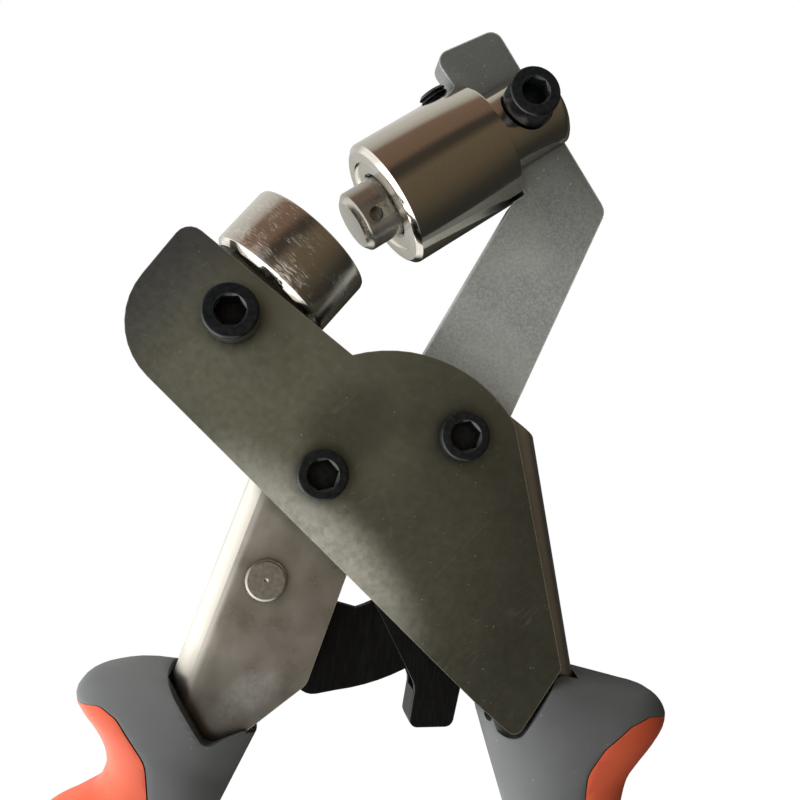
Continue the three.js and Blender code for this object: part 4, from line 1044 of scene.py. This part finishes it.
CARRIED = {
    ZINC: [
        "handle_pivot_bush", "arm_spacer_front", "arm_spacer_rear", "sector_spacer_front", "sector_spacer_rear",
        "drive_pin", "spring_hook_pin", "spring_anchor_pin", "trigger_pin",
    ],
}


def dress_carried_nodes():
    """CAD nodes whose own shape stays: small pins, spacers and the bush."""
    for material, names in CARRIED.items():
        for name in names:
            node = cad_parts[name]
            node.data.materials.clear()
            node.data.materials.append(material)


# ---------- stage ----------
# Light seen round the dies' axes: (angle, colour). The angle is 0 up and left, 90 in front,
# 180 down and right, and -90 behind the tool.
ROOM_BANDS = [
    (-180, (0.035, 0.034, 0.03)), (-152, (0.04, 0.04, 0.035)), (-150, (0.2, 0.195, 0.185)),
    (-147.5, (0.2, 0.195, 0.185)), (-145, (0.06, 0.06, 0.05)), (-130, (0.06, 0.055, 0.045)),
    (-110, (0.03, 0.03, 0.026)),
    (-88, (0.035, 0.035, 0.03)), (-76, (0.5, 0.5, 0.48)), (-55, (0.78, 0.77, 0.74)), (-14, (0.66, 0.65, 0.6)),
    (2, (0.5, 0.47, 0.42)), (12, (0.24, 0.16, 0.116)), (48, (0.2, 0.132, 0.092)), (60, (0.06, 0.05, 0.04)),
    (72, (0.06, 0.05, 0.038)), (86, (0.15, 0.117, 0.075)), (122, (0.13, 0.102, 0.066)),
    (144, (0.085, 0.072, 0.05)), (164, (0.045, 0.042, 0.033)), (180, (0.035, 0.034, 0.03)),
]
ROOM_AXIS_ANGLE = 40.0
WINDOW = (1.35, 1.35, 1.32, 1.0)
SUN = (4.0, 4.0, 3.95, 1.0)


def build_world():
    """White behind the tool for the camera; reflections and fill come from a banded room."""
    world = bpy.data.worlds.new("studio")
    bpy.context.scene.world = world
    g = Graph("studio", world)
    direction = g.add("ShaderNodeTexCoord").outputs["Generated"]
    lean = math.radians(ROOM_AXIS_ANGLE)
    up_left = g.vector("DOT_PRODUCT", direction, (-math.sin(lean), 0, math.cos(lean)))
    front = g.vector("DOT_PRODUCT", direction, (0, -1, 0))
    along = g.vector("DOT_PRODUCT", direction, (math.cos(lean), 0, math.sin(lean)))
    turn = g.math("ARCTAN2", front, up_left)
    ramp = g.add("ShaderNodeValToRGB", {}, {"Fac": g.spread(turn, -math.pi, math.pi)})
    stops = ramp.color_ramp.elements
    while len(stops) > 1:
        stops.remove(stops[-1])
    for i, (angle, color) in enumerate(ROOM_BANDS):
        stop = stops[0] if i == 0 else stops.new((angle + 180) / 360)
        stop.position = (angle + 180) / 360
        stop.color = (*color, 1.0)
    path = g.add("ShaderNodeLightPath").outputs
    color = g.mix(g.spread(along, -0.24, -0.42), ramp.outputs["Color"], WINDOW)
    mirrored = g.math("SUBTRACT", 1.0, path["Is Diffuse Ray"])
    sun = g.math("MULTIPLY", g.spread(along, -0.7, -0.9), mirrored)
    color = g.mix(sun, color, SUN)
    room = g.add("ShaderNodeBackground", {}, {"Color": color, "Strength": 1.0})
    white = g.add("ShaderNodeBackground", {}, {"Color": (1, 1, 1, 1), "Strength": 1.0})
    mix = g.add("ShaderNodeMixShader", {}, {0: path["Is Camera Ray"], 1: room.outputs[0], 2: white.outputs[0]})
    g.add("ShaderNodeOutputWorld", {}, {0: mix.outputs[0]})


def build_lights():
    """Soft panels that light the matt parts: a key from the left and a weak fill from the front."""
    for name, place, power, size in (
        ("key", (-0.75, -0.4, 0.55), 9.0, 0.5),
        ("fill", (-0.1, -0.9, 0.25), 1.0, 0.6),
    ):
        light = bpy.data.lights.new(name, "AREA")
        light.energy = power
        light.size = size
        obj = bpy.data.objects.new(name, light)
        obj.location = place
        obj.rotation_euler = (-Vector(place)).to_track_quat("-Z", "Y").to_euler()
        obj.visible_glossy = False
        bpy.context.scene.collection.objects.link(obj)


def build_floor():
    """A pale floor that is white to the camera and that polished metal doesn't mirror."""
    low = CAD_BOX[0][2] - 0.0005
    size = 3.0
    floor = mesh_object("floor", [(-size, -size, low), (size, -size, low), (size, size, low), (-size, size, low)],
                        [(0, 1, 2, 3)], Matrix.Identity(4))
    g = Graph("pale_floor")
    g.finish(grey(0.85), 0.0, 0.9)
    glow = g.add("ShaderNodeEmission", {}, {"Color": (1, 1, 1, 1), "Strength": 1.04})
    clear = g.add("ShaderNodeBsdfTransparent")
    path = g.add("ShaderNodeLightPath").outputs
    pale = g.add("ShaderNodeMixShader", {}, {0: 0.94, 1: g.shader.outputs[0], 2: glow.outputs[0]})
    shown = g.add("ShaderNodeMixShader", {}, {0: path["Is Camera Ray"], 1: clear.outputs[0], 2: pale.outputs[0]})
    g.plug(g.tree.nodes["Material Output"].inputs[0], shown.outputs[0])
    floor.data.materials.append(g.material)


CAMERA_AT = (-32.85, -163.5, -7.86)
CAMERA_LOOK = (0.15142, 0.98312, 0.10268)
CAMERA_UP = (-0.01563, -0.10148, 0.99471)
CAMERA_LENS = 34.875


def build_camera():
    data = bpy.data.cameras.new("camera")
    data.lens = CAMERA_LENS
    data.sensor_width = 36.0
    data.clip_start = 0.005
    camera = bpy.data.objects.new("camera", data)
    bpy.context.scene.collection.objects.link(camera)
    look, up = Vector(CAMERA_LOOK), Vector(CAMERA_UP)
    right = look.cross(up)
    turn = Matrix((right, up, -look)).transposed()
    camera.matrix_world = Matrix.Translation(Vector(CAMERA_AT) * MM) @ turn.to_4x4()
    bpy.context.scene.camera = camera


build_punch_holder()
build_punch_pin()
build_anvil()
build_fasteners()
build_set_screw()
build_rivet()
build_grips()
build_springs()
build_flat_parts()
dress_carried_nodes()
build_world()
build_lights()
build_floor()
build_camera()
bpy.context.scene.view_settings.view_transform = "Standard"
